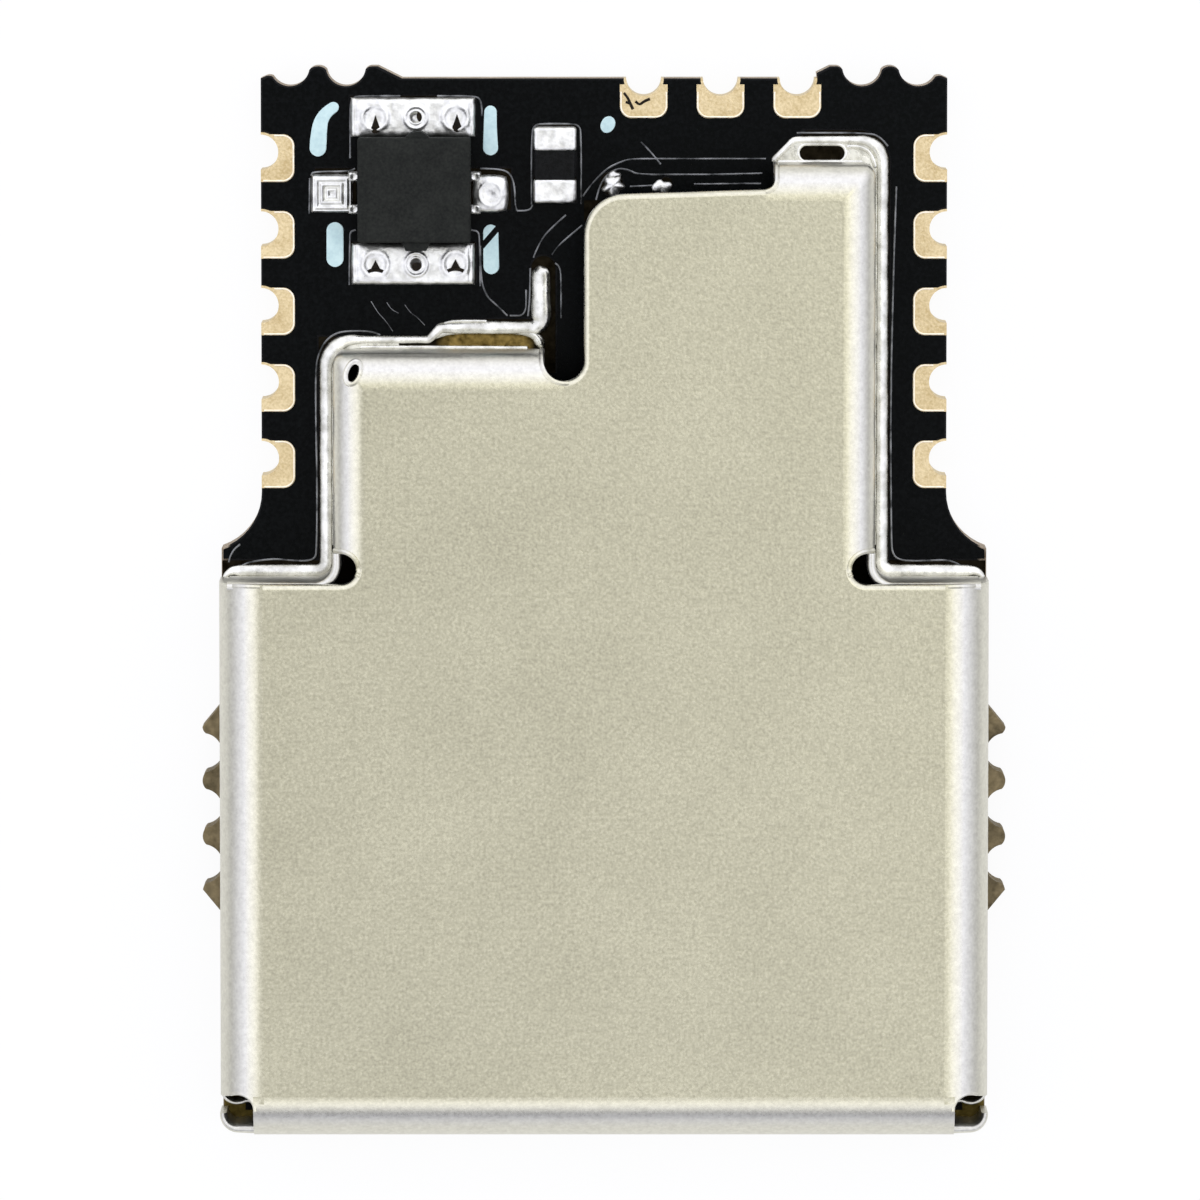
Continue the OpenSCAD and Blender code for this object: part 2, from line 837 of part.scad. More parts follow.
// Notch in plan: a round end with straight sides that open towards +Y
module notch_cut() {
    translate([inner_edge - notch_r, left_wall - notch_depth + notch_r, -past])
        linear_extrude(can_h + 2 * past) {
            circle(notch_r);
            translate([-notch_r, 0])
                square([2 * notch_r, past]);
        }
}

// Side wall of the wide part on the left, with the low ear at its front corner
module side_wall() {
    translate([-wall_x, shoulder, 0])
        rotate(-90)
            folded_wall(shoulder - wall_front - wide_bend_r, wide_bend_r);
    corner_ear();
}

// Low ear round the left front corner, which laps into the walls on both sides
module corner_ear() {
    reach = wide_bend_r - corner_ear_r + sheet_t;
    translate([-wall_x + corner_ear_r, wall_front + corner_ear_r, 0]) {
        upright_turn(corner_ear_r, corner_ear_h);
        translate([-corner_ear_r, 0, 0])
            cube([sheet_t, reach, corner_ear_h]);
        translate([0, -corner_ear_r, 0])
            cube([reach, sheet_t, corner_ear_h]);
    }
}

module shield_can() {
    flat_neck = neck_wall_x - bend_r;
    color([0.76, 0.75, 0.68])
        translate([0, 0, board_t]) {
            difference() {
                union() {
                    translate([0, 0, can_h - sheet_t])
                        linear_extrude(sheet_t)
                            can_top_shape();
                    top_wall(left_wall, -flat_neck, inner_edge);
                }
                notch_cut();
            }
            top_wall(right_wall, step_x, flat_neck);
            translate([-flat_x, wall_front, 0])
                folded_wall(2 * flat_x, wide_bend_r);
            side_wall();
            neck_wall(left_wall);
            difference() {
                top_corner(left_wall);
                corner_hole();
            }
            mirror([1, 0, 0]) {
                side_wall();
                neck_wall(right_wall);
                top_corner(right_wall);
            }
        }
}

// Filter and chip beside the can

// Copies a shape drawn above the middle to both ends
module both_ends() {
    for (turn = [0, 180])
        rotate(turn)
            children();
}

module end_land() {
    translate([-end_term_w / 2, filter_l / 2])
        square([end_term_w, end_term_d]);
}

module side_land() {
    translate([filter_w / 2, -side_term_w / 2])
        square([side_term_d, side_term_w]);
}

// Lands that show, grown by g
module visible_land_shapes(g = 0) {
    translate(filter_at)
        both_ends() {
            span([-end_term_w / 2 - g, filter_l / 2 - g],
                [end_term_w / 2 + g, filter_l / 2 + end_term_d + g]);
            span([filter_w / 2 - g, -side_term_w / 2 - g],
                [filter_w / 2 + side_term_d + g, side_term_w / 2 + g]);
        }
    translate(chip_at)
        span([-chip_w / 2 - g, -chip_l / 2 - g], [chip_w / 2 + g, chip_l / 2 + g]);
}

// Middle of the body with its two tabs, in plan
module tab_shape() {
    half_l = filter_l / 2 + filter_tab_d;
    span([-filter_tab_w / 2, -half_l], [filter_tab_w / 2, half_l]);
}

module filter_body() {
    color([0.13, 0.13, 0.12])
        translate([filter_at[0], filter_at[1], board_t])
            linear_extrude(filter_h) {
                span([-filter_w / 2, -filter_l / 2], [filter_w / 2, filter_l / 2]);
                tab_shape();
            }
}

// Solder on the end lands, with a dimple over each via and an open hole in the middle one
module filter_end_terminals() {
    color([0.86, 0.87, 0.87])
        translate([filter_at[0], filter_at[1], board_t])
            both_ends()
                difference() {
                    linear_extrude(term_t)
                        difference() {
                            end_land();
                            tab_shape();
                        }
                    for (i = [-1:1])
                        translate([i * dimple_pitch, (filter_l + end_term_d) / 2, term_t]) {
                            dimple_cut();
                            if (i == 0)
                                translate([0, 0, -past])
                                    cylinder(r = via_r, h = 2 * past);
                        }
                }
}

// Shallow round dimple, half as deep as the solder
module dimple_cut() {
    depth = term_t / 2;
    ball_r = (pow(dimple_r, 2) + pow(depth, 2)) / (2 * depth);
    translate([0, 0, ball_r - depth])
        sphere(ball_r);
}

module filter_side_terminals() {
    color([0.86, 0.87, 0.87])
        translate([filter_at[0], filter_at[1], board_t])
            both_ends()
                linear_extrude(term_t)
                    side_land();
}

module chip_resistor_body() {
    color([0.05, 0.05, 0.05])
        translate([chip_at[0], chip_at[1], board_t])
            rotate(90)
                part_body(chip_l, chip_w, chip_h, chip_cap);
}

module chip_resistor_caps() {
    color([0.86, 0.87, 0.87])
        translate([chip_at[0], chip_at[1], board_t])
            rotate(90)
                part_caps(chip_l, chip_w, chip_h, chip_cap);
}

// Print

// Stroke with round ends, l long along Y
module stroke(l) {
    run = l - stroke_w;
    translate([-stroke_w / 2, -run / 2])
        square([stroke_w, run]);
    for (s = SIDES)
        translate([0, s * run / 2])
            circle(stroke_w / 2);
}

module silkscreen_marks() {
    hook = [-stroke_x - stroke_w, stroke_y];
    hook_end = hook + [stroke_w / 2, stroke_l / 2 - stroke_shift];
    color([0.72, 0.85, 0.88])
        translate([0, 0, board_t])
            linear_extrude(ink_t) {
                translate(filter_at) {
                    translate([stroke_x, stroke_y])
                        stroke(stroke_l);
                    translate([stroke_x, -stroke_y])
                        stroke(stroke_l);
                    translate([-stroke_x - stroke_shift, -stroke_y + stroke_shift])
                        stroke(stroke_l);
                    translate(hook)
                        rotate(-hook_lean)
                            stroke(stroke_l);
                    translate(hook_end)
                        rotate(-hook_turn)
                            stroke(hook_l);
                }
                translate(chip_at + [chip_w + stroke_w, (chip_l + stroke_w) / 2])
                    rotate(-dot_lean)
                        stroke(dot_l);
            }
}

// Parts under the can

// Body of a two-terminal part, along X
module part_body(l, w, h, cap) {
    translate([-l / 2 + cap, -w / 2, 0])
        cube([l - 2 * cap, w, h]);
}

// End caps of a two-terminal part, along X
module part_caps(l, w, h, cap) {
    both_ends()
        translate([l / 2 - cap, -w / 2, 0])
            cube([cap, w, h]);
}

// Lands of a two-terminal part, along X
module part_lands(l, w, cap) {
    both_ends()
        translate([l / 2 - cap, -w / 2])
            square([cap, w]);
}

// Leads of a leadless chip in plan, n on each of the sides that turns names
module lead_shapes(s, pitch, n, turns) {
    for (turn = turns)
        rotate(turn)
            for (i = [0:n - 1])
                translate([s / 2 - lead_l, (i - (n - 1) / 2) * pitch - lead_w / 2])
                    square([lead_l, lead_w]);
}

module radio_lead_shapes() {
    pad = radio_s - 2 * (lead_l + lead_clear);
    count = floor((radio_s - 2 * lead_l - lead_w) / radio_pitch);
    translate(radio_at) {
        lead_shapes(radio_s, radio_pitch, count, [0, 90, 180, 270]);
        translate([-pad / 2, -pad / 2])
            square(pad);
    }
}

module switch_lead_shapes() {
    count = floor((switch_s - lead_w) / switch_pitch) + 1;
    translate(switch_at)
        lead_shapes(switch_s, switch_pitch, count, [0, 180]);
}

module oscillator_land_shapes() {
    translate(osc_at)
        part_lands(osc_l, osc_w, osc_land);
}

// Lands under the can, each the size of the terminal on it
module hidden_land_shapes() {
    radio_lead_shapes();
    switch_lead_shapes();
    oscillator_land_shapes();
    translate(coil_at)
        part_lands(coil_l, coil_w, coil_cap);
    for (p = concat(INDUCTOR_SPOTS, CAPACITOR_SPOTS))
        translate(p)
            part_lands(small_l, small_w, small_cap);
}

module component_lands() {
    color([0.82, 0.7, 0.44])
        translate([0, 0, board_t - mask_t])
            linear_extrude(mask_t) {
                hidden_land_shapes();
                translate(filter_at)
                    both_ends() {
                        end_land();
                        side_land();
                    }
                translate(chip_at)
                    rotate(90)
                        part_lands(chip_l, chip_w, chip_cap);
            }
}

// Plain block of size [x, y, z] that stands centred on p at height z0
module block_at(p, size, z0) {
    translate([p[0] - size[0] / 2, p[1] - size[1] / 2, z0])
        cube(size);
}

module transceiver_body() {
    color([0.1, 0.1, 0.1])
        block_at(radio_at, [radio_s, radio_s, radio_h], board_t + lead_t);
}

module transceiver_leads() {
    color([0.8, 0.8, 0.78])
        translate([0, 0, board_t])
            linear_extrude(lead_t)
                radio_lead_shapes();
}

module rf_switch_body() {
    color([0.1, 0.1, 0.1])
        block_at(switch_at, [switch_s, switch_s, switch_h], board_t + lead_t);
}

module rf_switch_leads() {
    color([0.8, 0.8, 0.78])
        translate([0, 0, board_t])
            linear_extrude(lead_t)
                switch_lead_shapes();
}

module oscillator_base() {
    color([0.55, 0.5, 0.42])
        block_at(osc_at, [osc_l, osc_w, osc_base_h], board_t);
}

module oscillator_lid() {
    color([0.8, 0.8, 0.8])
        block_at(osc_at, [osc_l - 2 * osc_rim, osc_w - 2 * osc_rim, osc_lid_t], board_t + osc_base_h);
}

module power_inductor_body() {
    color([0.3, 0.3, 0.3])
        translate([coil_at[0], coil_at[1], board_t])
            part_body(coil_l, coil_w, coil_h, coil_cap);
}

module power_inductor_terminals() {
    color([0.85, 0.85, 0.85])
        translate([coil_at[0], coil_at[1], board_t])
            part_caps(coil_l, coil_w, coil_h, coil_cap);
}

// Places one copy of a small part at each of a list of spots
module at_spots(spots) {
    for (p = spots)
        translate([p[0], p[1], board_t])
            children();
}

module matching_inductor_bodies() {
    color([0.35, 0.55, 0.6])
        at_spots(INDUCTOR_SPOTS)
            part_body(small_l, small_w, small_h, small_cap);
}

module matching_inductor_terminals() {
    color([0.85, 0.85, 0.85])
        at_spots(INDUCTOR_SPOTS)
            part_caps(small_l, small_w, small_h, small_cap);
}

module capacitor_bodies() {
    color([0.6, 0.48, 0.34])
        at_spots(CAPACITOR_SPOTS)
            part_body(small_l, small_w, small_h, small_cap);
}

module capacitor_end_caps() {
    color([0.85, 0.85, 0.85])
        at_spots(CAPACITOR_SPOTS)
            part_caps(small_l, small_w, small_h, small_cap);
}

circuit_board();
solder_mask_top();
solder_mask_bottom();
castellated_pads_left();
castellated_pads_right();
castellated_pads_top();
ground_land();
component_lands();
shield_solder();
solder_blobs();
shield_can();
filter_body();
filter_end_terminals();
filter_side_terminals();
chip_resistor_body();
chip_resistor_caps();
silkscreen_marks();
transceiver_body();
transceiver_leads();
oscillator_base();
oscillator_lid();
rf_switch_body();
rf_switch_leads();
power_inductor_body();
power_inductor_terminals();
matching_inductor_bodies();
matching_inductor_terminals();
capacitor_bodies();
capacitor_end_caps();
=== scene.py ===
# %% [markdown]
# # A radio module with a folded shield can
# The part is a stamp-sized circuit board with gold half-holes on three edges. A folded
# nickel-silver can covers most of it, and a black four-terminal filter sits in front of
# the can's notch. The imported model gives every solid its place, so this lesson only adds
# what a solid model leaves out: sheet metal with soft folds, solder that has flowed, the
# thin ridges of the solder mask, and the finish of each material.

# %% Load the frame
import json
import bmesh
import bpy
import numpy as np
from mathutils import Matrix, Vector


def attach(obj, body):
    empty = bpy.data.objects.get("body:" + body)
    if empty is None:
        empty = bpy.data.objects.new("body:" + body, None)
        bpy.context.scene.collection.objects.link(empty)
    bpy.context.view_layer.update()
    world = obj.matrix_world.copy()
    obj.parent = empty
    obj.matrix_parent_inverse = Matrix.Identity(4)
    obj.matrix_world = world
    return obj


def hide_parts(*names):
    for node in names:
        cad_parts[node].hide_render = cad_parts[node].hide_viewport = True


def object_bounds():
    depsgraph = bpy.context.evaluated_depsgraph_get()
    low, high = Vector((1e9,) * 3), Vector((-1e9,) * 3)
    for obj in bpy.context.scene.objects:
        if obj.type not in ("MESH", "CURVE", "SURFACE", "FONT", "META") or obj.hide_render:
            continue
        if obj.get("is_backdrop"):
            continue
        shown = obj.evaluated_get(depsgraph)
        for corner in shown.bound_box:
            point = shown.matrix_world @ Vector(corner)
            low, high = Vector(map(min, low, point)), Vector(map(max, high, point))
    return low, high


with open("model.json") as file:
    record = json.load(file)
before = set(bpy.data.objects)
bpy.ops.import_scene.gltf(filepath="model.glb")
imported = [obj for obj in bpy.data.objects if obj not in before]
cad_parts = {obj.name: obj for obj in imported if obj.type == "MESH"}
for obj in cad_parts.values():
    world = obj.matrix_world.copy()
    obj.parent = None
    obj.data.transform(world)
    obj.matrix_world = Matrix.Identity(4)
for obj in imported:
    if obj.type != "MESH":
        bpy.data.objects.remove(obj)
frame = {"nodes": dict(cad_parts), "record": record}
cad_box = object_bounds()
print("nodes:", len(frame["nodes"]), "box:", [round(1000 * v, 2) for p in cad_box for v in p])

# %% [markdown]
# ## Shader maths as Python
# A finish is a small sum: a base colour, plus a share of grain, minus a share of dirt.
# Blender writes each step of such a sum as a Math node. One class wraps a socket, so that
# a line of Python adds those nodes, and one method adds any other kind of node.

# %% The shade class
MIDDLE, MOST = (0.35, 0.65), (0.3, 0.7)  # where a cloudy noise has its middle values, and most


class Shade:
    """A value in a node tree. Arithmetic on it adds the Math nodes that work it out."""

    def __init__(self, tree, socket=None):
        self.tree, self.socket = tree, socket

    def add(self, kind, settings=None, inputs=None, output=0):
        """Adds a node: first its settings, then its sockets. Gives one of its outputs."""
        node = self.tree.nodes.new("ShaderNode" + kind)
        for name, value in (settings or {}).items():
            if name == "stops":
                ramp = node.color_ramp.elements
                while len(ramp) < len(value):
                    ramp.new(1.0)
                for stop, (place, colour) in zip(ramp, value):
                    stop.position, stop.color = place, (*colour, 1.0)
            else:
                setattr(node, name, value)
        for key, value in (inputs or {}).items():
            if isinstance(value, Shade):
                self.tree.links.new(value.socket, node.inputs[key])
            else:
                node.inputs[key].default_value = value
        return Shade(self.tree, node.outputs[output])

    def math(self, operation, first, second=0.0):
        return self.add("Math", {"operation": operation}, {0: first, 1: second})

    def __add__(self, other):
        return self.math("ADD", self, other)

    def __rsub__(self, other):
        return self.math("SUBTRACT", other, self)

    def __mul__(self, other):
        return self.math("MULTIPLY", self, other)

    def __pow__(self, other):
        return self.math("POWER", self, other)

    def __abs__(self):
        return self.math("ABSOLUTE", self)

    def spread(self, low, high, bottom=0.0, top=1.0):
        """The value's range low to high, stretched to bottom to top and clipped there."""
        keys = {0: self, 1: low, 2: high, 3: bottom, 4: top}
        return self.add("MapRange", {"clamp": True}, keys)

    def mix(self, first, second):
        """A colour between two colours: the first where this value is 0, the second at 1."""
        pair = [c if isinstance(c, Shade) else (*c, 1.0) for c in (first, second)]
        return self.add("Mix", {"data_type": "RGBA"}, {0: self, 6: pair[0], 7: pair[1]}, 2)


class Finish(Shade):
    """A material with one Principled shader, whose constants are set on its own sockets."""

    def __init__(self, name, **constants):
        self.name, self.material = name, bpy.data.materials.new(name)
        self.material.use_nodes = True
        super().__init__(self.material.node_tree)
        self.shader = self.tree.nodes["Principled BSDF"]
        for key, value in constants.items():
            self.shader.inputs[key.replace("_", " ")].default_value = value
        self.place = self.add("TexCoord", output="Object")

    def noise(self, size, detail=3.0, rough=0.55, scale=(1.0, 1.0, 1.0)):
        """Cloudy noise, 0 to 1, whose blobs are about size millimetres across, and longer along
        each axis that is scaled down."""
        place = self.add("Mapping", {}, {"Vector": self.place, "Scale": scale})
        keys = {"Vector": place, "Scale": 1000.0 / size, "Detail": detail, "Roughness": rough}
        return self.add("TexNoise", {}, keys)

    def along(self, axis):
        """The object coordinate along one axis, in millimetres."""
        return self.add("SeparateXYZ", {}, {0: self.place}, axis) * 1000.0

    def put(self, **links):
        """Links worked-out values to the shader's sockets."""
        for key, value in links.items():
            self.tree.links.new(value.socket, self.shader.inputs[key.replace("_", " ")])

    def relief(self, height, depth):
        """Turns a height, 0 to 1, into a bump that is depth millimetres deep."""
        keys = {"Strength": 1.0, "Distance": depth / 1000.0, "Height": height}
        self.put(Normal=self.add("Bump", {}, keys))

    def coat(self, tone, dark, light, grain, low, high, depth, height=None):
        """The usual skin: a tone mixes two shades, grain makes it rougher from low to high, and
        the grain, or another height, is its relief."""
        self.put(Base_Color=tone.mix(dark, light), Roughness=grain.spread(*MOST, low, high))
        self.relief(height or grain, depth)


print("shade class ready")

# %% [markdown]
# ## Nickel silver
# The can is stamped from nickel-silver strip: a warm grey metal, rolled to a satin skin.
# Close up, the skin is a fine grain with faint clouds where hands and solder vapour have
# been. Metal has no colour of its own below the skin, so the grain goes into the
# roughness, a shallow bump, and a few per cent of the reflected colour. Folding stretches
# the skin, so below the flat top it is rougher. There its colour is also painted paler and
# greyer: a painted highlight along the folds.

# %% Nickel silver finish
satin = Finish("nickel_silver", Metallic=1.0)
fine, speck, cloud = satin.noise(0.05, 2.0), satin.noise(0.11, 2.0), satin.noise(2.2)
tone = (fine * 0.5 + speck * 0.42 + cloud * 0.08).spread(0.36, 0.64)
height = satin.along("Z")
level = tone.mix((0.58, 0.553, 0.405), (0.73, 0.698, 0.512))
# A paler, greyer copy of the colour, used below the flat top: a painted highlight along the folds.
paler_fold_highlight = tone.mix((0.61, 0.595, 0.52), (0.75, 0.735, 0.645))
rough = (fine * 0.7 + cloud * 0.3).spread(*MOST, 0.21, 0.29)
satin.put(Base_Color=height.spread(2.395, 2.33).mix(level, paler_fold_highlight),
          Roughness=rough + height.spread(2.39, 2.2, 0.0, 0.13))
satin.relief(fine * 0.6 + speck * 0.4, 0.0022)
print("finish:", satin.name)

# %% [markdown]
# ## Solder, tin and gold
# Solder freezes with a bright skin that is slightly crinkled, and greyer where flux stayed.
# Tinned terminals look much the same, only duller. The gold on the half-holes is a thin
# immersion coat: it copies the grain of the copper below, so it looks sandy, not polished.
# The gold of the land under the can, and of the lands that show round the filter and the
# chip, is painted near black: painted shade in the narrow gaps by the walls, and as dark as
# the mask beside them elsewhere. It is painted brown in the channel under the left top wall
# and olive in the front pockets: painted shade where the walls shadow the gold.

# %% Solder, tin and gold finishes
def clouded(name, grains, ramp, dark, light, low, high, depth, **constants):
    """A finish of clouds: noises, each (share, size, detail, roughness), add up to the tone that
    mixes two shades, and the first of them is the grain that makes it rough."""
    made = Finish(name, **constants)
    noises = [made.noise(*spec) for _, *spec in grains]
    tone = noises[0] * grains[0][0]
    for noise, (share, *_) in zip(noises[1:], grains[1:]):
        tone = tone + noise * share
    made.coat(tone.spread(*ramp), dark, light, noises[0], low, high, depth)
    return made


solder = clouded("solder", [(0.3, 0.16, 3.0, 0.6), (0.7, 0.3)], (0.36, 0.6), (0.48, 0.47, 0.40),
                 (0.87, 0.86, 0.765), 0.2, 0.36, 0.008, Metallic=1.0)
tin = clouded("tin_plate", [(1.0, 0.15)], MIDDLE, (0.66, 0.655, 0.60), (0.95, 0.945, 0.87),
              0.32, 0.5, 0.018, Metallic=1.0)
gold = clouded("gold_plating", [(0.6, 0.045, 3.0, 0.65), (0.4, 0.35)], (0.36, 0.62),
               (0.52, 0.395, 0.19), (0.775, 0.64, 0.375), 0.34, 0.52, 0.010, Metallic=1.0)
# Pale gold for the ridges round the lands: a painted highlight.
pale_glint = clouded("rim_gold_painted_glint", [(1.0, 0.08)], MIDDLE, (0.90, 0.78, 0.54), (0.98, 0.90, 0.72),
               0.3, 0.45, 0.004, Metallic=1.0)
# Gold with painted shade: near black where the lands show, brown in the channel under the left top
# wall, olive in the front pockets.
painted_shade_gold = Finish("gold_painted_shade", Metallic=1.0)
land_grain = painted_shade_gold.noise(0.16)
east, north = painted_shade_gold.along("X"), painted_shade_gold.along("Y")
channel_shade = (east.spread(-2.8, -2.55) * east.spread(-1.15, -1.3)
           * north.spread(4.5, 4.42) * north.spread(4.0, 4.2))
tone = land_grain.spread(*MIDDLE)
black = tone.mix((0.004, 0.003, 0.0016), (0.014, 0.011, 0.006))
brown = tone.mix((0.07, 0.045, 0.01), (0.30, 0.21, 0.06))
olive_shade = tone.mix((0.05, 0.036, 0.008), (0.15, 0.11, 0.028))
pocket_shade = north.spread(-7.8, -7.95)
painted_shade_gold.coat(pocket_shade, channel_shade.mix(black, brown), olive_shade, land_grain, 0.35, 0.55, 0.012)
print("finishes:", *(made.name for made in (solder, tin, gold, pale_glint, painted_shade_gold)))

# %% [markdown]
# ## Mask, laminate and print
# The solder mask is a black varnish, thin enough to sag over the copper, so it is nearly
# smooth with a slow wave. The laminate shows only where it was cut: brown glass cloth with
# pale fibre ends, and black on top, where the mask soaked in. At the side stubs it is painted
# darker and more olive: painted shade from the can's walls beside them. The marks are pale
# blue ink, printed through a screen, a little patchy.

# %% Mask, laminate and print finishes
mask = Finish("solder_mask", Specular_IOR_Level=0.06)
dust = mask.noise(0.06, 2.0)
wave = mask.noise(0.8, 2.0) * 0.8 + dust * 0.2
mask.coat(dust.spread(0.45, 0.75), (0.0008, 0.0012, 0.0011), (0.0026, 0.0033, 0.0031),
          dust, 0.24, 0.4, 0.006, wave)

laminate = Finish("laminate", Specular_IOR_Level=0.25)
cloth, resin = laminate.noise(0.05, 3.0, 0.6, (0.25, 0.25, 1.0)), laminate.noise(0.4)
aside = abs(laminate.along("X"))
inside = laminate.along("Z").spread(0.752, 0.757) * aside.spread(6.25, 6.2)
weave = (cloth * 0.6 + resin * 0.4).spread(*MIDDLE)
edges = weave.mix((0.16, 0.115, 0.065), (0.50, 0.42, 0.30))
# A darker, more olive copy for the side stubs: painted shade from the can's walls beside them.
shaded_stubs = weave.mix((0.075, 0.056, 0.022), (0.27, 0.21, 0.105))
cut = aside.spread(6.32, 6.4).mix(edges, shaded_stubs)
laminate.coat(inside, cut, (0.004, 0.004, 0.0035), resin, 0.55, 0.8, 0.012, cloth)

# Grey, part metallic finish for the mask ridges and scuffs: a painted highlight on the black
# varnish.
ridge_and_scuff_glint = clouded("mask_ridge_painted_glint", [(1.0, 0.25)], MIDDLE, (0.02, 0.022, 0.021), (0.25, 0.255, 0.245),
              0.22, 0.4, 0.004, Specular_IOR_Level=0.6, Metallic=0.35)
ink = clouded("print_ink", [(0.5, 0.07, 2.0), (0.5, 0.3, 2.0)], (0.3, 0.62), (0.45, 0.62, 0.60),
              (0.60, 0.77, 0.72), 0.5, 0.7, 0.004, Specular_IOR_Level=0.3)
print("finishes:", *(made.name for made in (mask, ridge_and_scuff_glint, laminate, ink)))

# %% [markdown]
# ## Ceramics and moulding compounds
# The filter's body is a matte black ceramic with a fine tooth, the chip's is a glassy
# overglaze. The parts under the can are seldom seen, but anyone who lifts the can should
# find the usual colours: black compound, brown and tan ceramic, a blue inductor, ferrite.

# %% Ceramic and compound finishes
def grainy(name, dark, light, size, low, high, depth, shine=0.5):
    """A dull body: two close shades mixed by grain of one size and by clouds nine times as wide."""
    grains = [(0.65, size), (0.35, size * 9.0, 2.0)]
    ramp, constants = (0.36, 0.64), {"Specular_IOR_Level": shine}
    return clouded(name, grains, ramp, dark, light, low, high, depth, **constants)


BODIES = [
    ("filter_black", (0.008, 0.0088, 0.007), (0.021, 0.0225, 0.018), 0.045, 0.62, 0.8, 0.004, 0.12),
    ("chip_glaze", (0.002, 0.0022, 0.002), (0.005, 0.0053, 0.005), 0.08, 0.2, 0.34, 0.003, 0.12),
    ("mould_compound", (0.012, 0.012, 0.013), (0.024, 0.024, 0.025), 0.04, 0.5, 0.7, 0.005),
    ("brown_ceramic", (0.20, 0.125, 0.07), (0.29, 0.19, 0.11), 0.03, 0.4, 0.6, 0.003),
    ("blue_ceramic", (0.05, 0.14, 0.22), (0.08, 0.20, 0.30), 0.03, 0.35, 0.55, 0.003),
    ("tan_ceramic", (0.52, 0.41, 0.26), (0.64, 0.53, 0.36), 0.03, 0.4, 0.6, 0.003),
    ("ferrite", (0.045, 0.045, 0.047), (0.085, 0.083, 0.082), 0.05, 0.5, 0.75, 0.006),
]
# Dark brown for the painted reflections in the terminals' dimples, and for the real scratches on a
# land.
dark_reflection_and_scratch = grainy("dark_reflection_and_scratch", (0.004, 0.003, 0.0015), (0.022, 0.015, 0.007), 0.06, 0.3, 0.5, 0.005, 0.1)
made_so_far = [laminate, mask, gold, solder, satin, tin, ink]
FINISHES = {made.name: made for made in made_so_far + [grainy(*row) for row in BODIES]}
print("finishes for slots:", len(FINISHES))

# %% [markdown]
# ## Dress the CAD nodes
# Lands, half-holes and the parts under the can are already right as solids, so they keep
# their meshes and only take a finish. The record says which slot each node belongs to. The
# lands inside the board's edge are gold too, painted dark with painted shade.

# %% Dress the nodes
SLOT = {entry["node"]: entry["material_slot"] for entry in frame["record"]["subparts"]}
for name, piece in frame["nodes"].items():
    # The two land nodes take the gold with painted shade.
    finish = painted_shade_gold if name in ("ground_land", "component_lands") else FINISHES[SLOT[name]]
    for held in piece.material_slots:
        held.material = finish.material
print("dressed nodes:", len(SLOT), "in slots:", len(set(SLOT.values())))

# %% [markdown]
# ## From numbers to a mesh
# Every new piece is a list of closed skins, each a numpy array of points in millimetres
# with its faces. One function welds them and turns the faces outwards. Another scales the mesh
# to metres and hands the piece to the frame.

# %% Mesh helpers
MM, BOARD = 0.001, 0.8  # metres in a millimetre, and the height of the board's top
CREASE, LEVEL = np.radians(38.0), 0.99999  # angle of a sharp edge, upward share of a level normal


def skin_mesh(name, skins, others=()):
    """A mesh in millimetres from (points, faces) skins: doubles merged, faces turned outwards, and
    the faces of other meshes added."""
    starts = np.cumsum([0] + [len(points) for points, _ in skins])
    faces = [(np.array(face) + start).tolist()
             for (_, own), start in zip(skins, starts) for face in own]
    mesh = bpy.data.meshes.new(name)
    mesh.from_pydata(np.concatenate([points for points, _ in skins]).tolist(), [], faces)
    work = bmesh.new()
    work.from_mesh(mesh)
    bmesh.ops.remove_doubles(work, verts=work.verts, dist=1e-5)
    bmesh.ops.dissolve_degenerate(work, edges=work.edges, dist=1e-5)
    bmesh.ops.recalc_face_normals(work, faces=work.faces)
    for part in others:
        work.from_mesh(part)
    work.to_mesh(mesh)
    work.free()
    return mesh


def add_piece(name, shape, slot, node=None, finish=None, others=()):
    """Makes a mesh of skins, or takes one, scales it to metres, gives it its finish and lets it
    ride on the module in place of a node. Level faces are shaded flat, so that a wide one stays
    even right up to a rolled edge."""
    mesh = shape if isinstance(shape, bpy.types.Mesh) else skin_mesh(name, shape, others)
    mesh.transform(Matrix.Scale(MM, 4))
    mesh.set_sharp_from_angle(angle=CREASE)
    facing = np.zeros(3 * len(mesh.polygons), np.float32)
    mesh.polygons.foreach_get("normal", facing)
    mesh.polygons.foreach_set("use_smooth", np.abs(facing[2::3]) < LEVEL)
    piece = bpy.data.objects.new(name, mesh)
    bpy.context.scene.collection.objects.link(piece)
    mesh.materials.append((finish or FINISHES[slot]).material)
    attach(piece, "root")
    if node:
        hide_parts(node)
    print(name, "faces:", len(mesh.polygons))


# %% [markdown]
# ## Three ways to make a skin
# Most things on this board are one of three shapes: a profile carried along a path (a wall,
# a bead of solder, a ridge), an outline stacked in rings (a block with rounded edges), or a
# height over a small grid (a terminal with dimples). A path is either walked, move by move,
# or drawn through a few points and smoothed.

# %% Skins
def compass(turn):
    """Unit directions in plan at angles in radians."""
    return np.stack([np.cos(turn), np.sin(turn)], -1)


def lattice(rings, count, loop=False):
    """Faces of a skin whose points run round count places on each ring; open ends are closed."""
    k = np.arange(rings if loop else rings - 1)[:, None]
    i = np.arange(count)[None, :]
    row, after, beside = k * count, (k + 1) % rings * count, (i + 1) % count
    quads = np.stack([row + i, after + i, after + beside, row + beside], -1)
    ends = [] if loop else [list(range(count)), list(range((rings - 1) * count, rings * count))]
    return quads.reshape(-1, 4).tolist() + ends


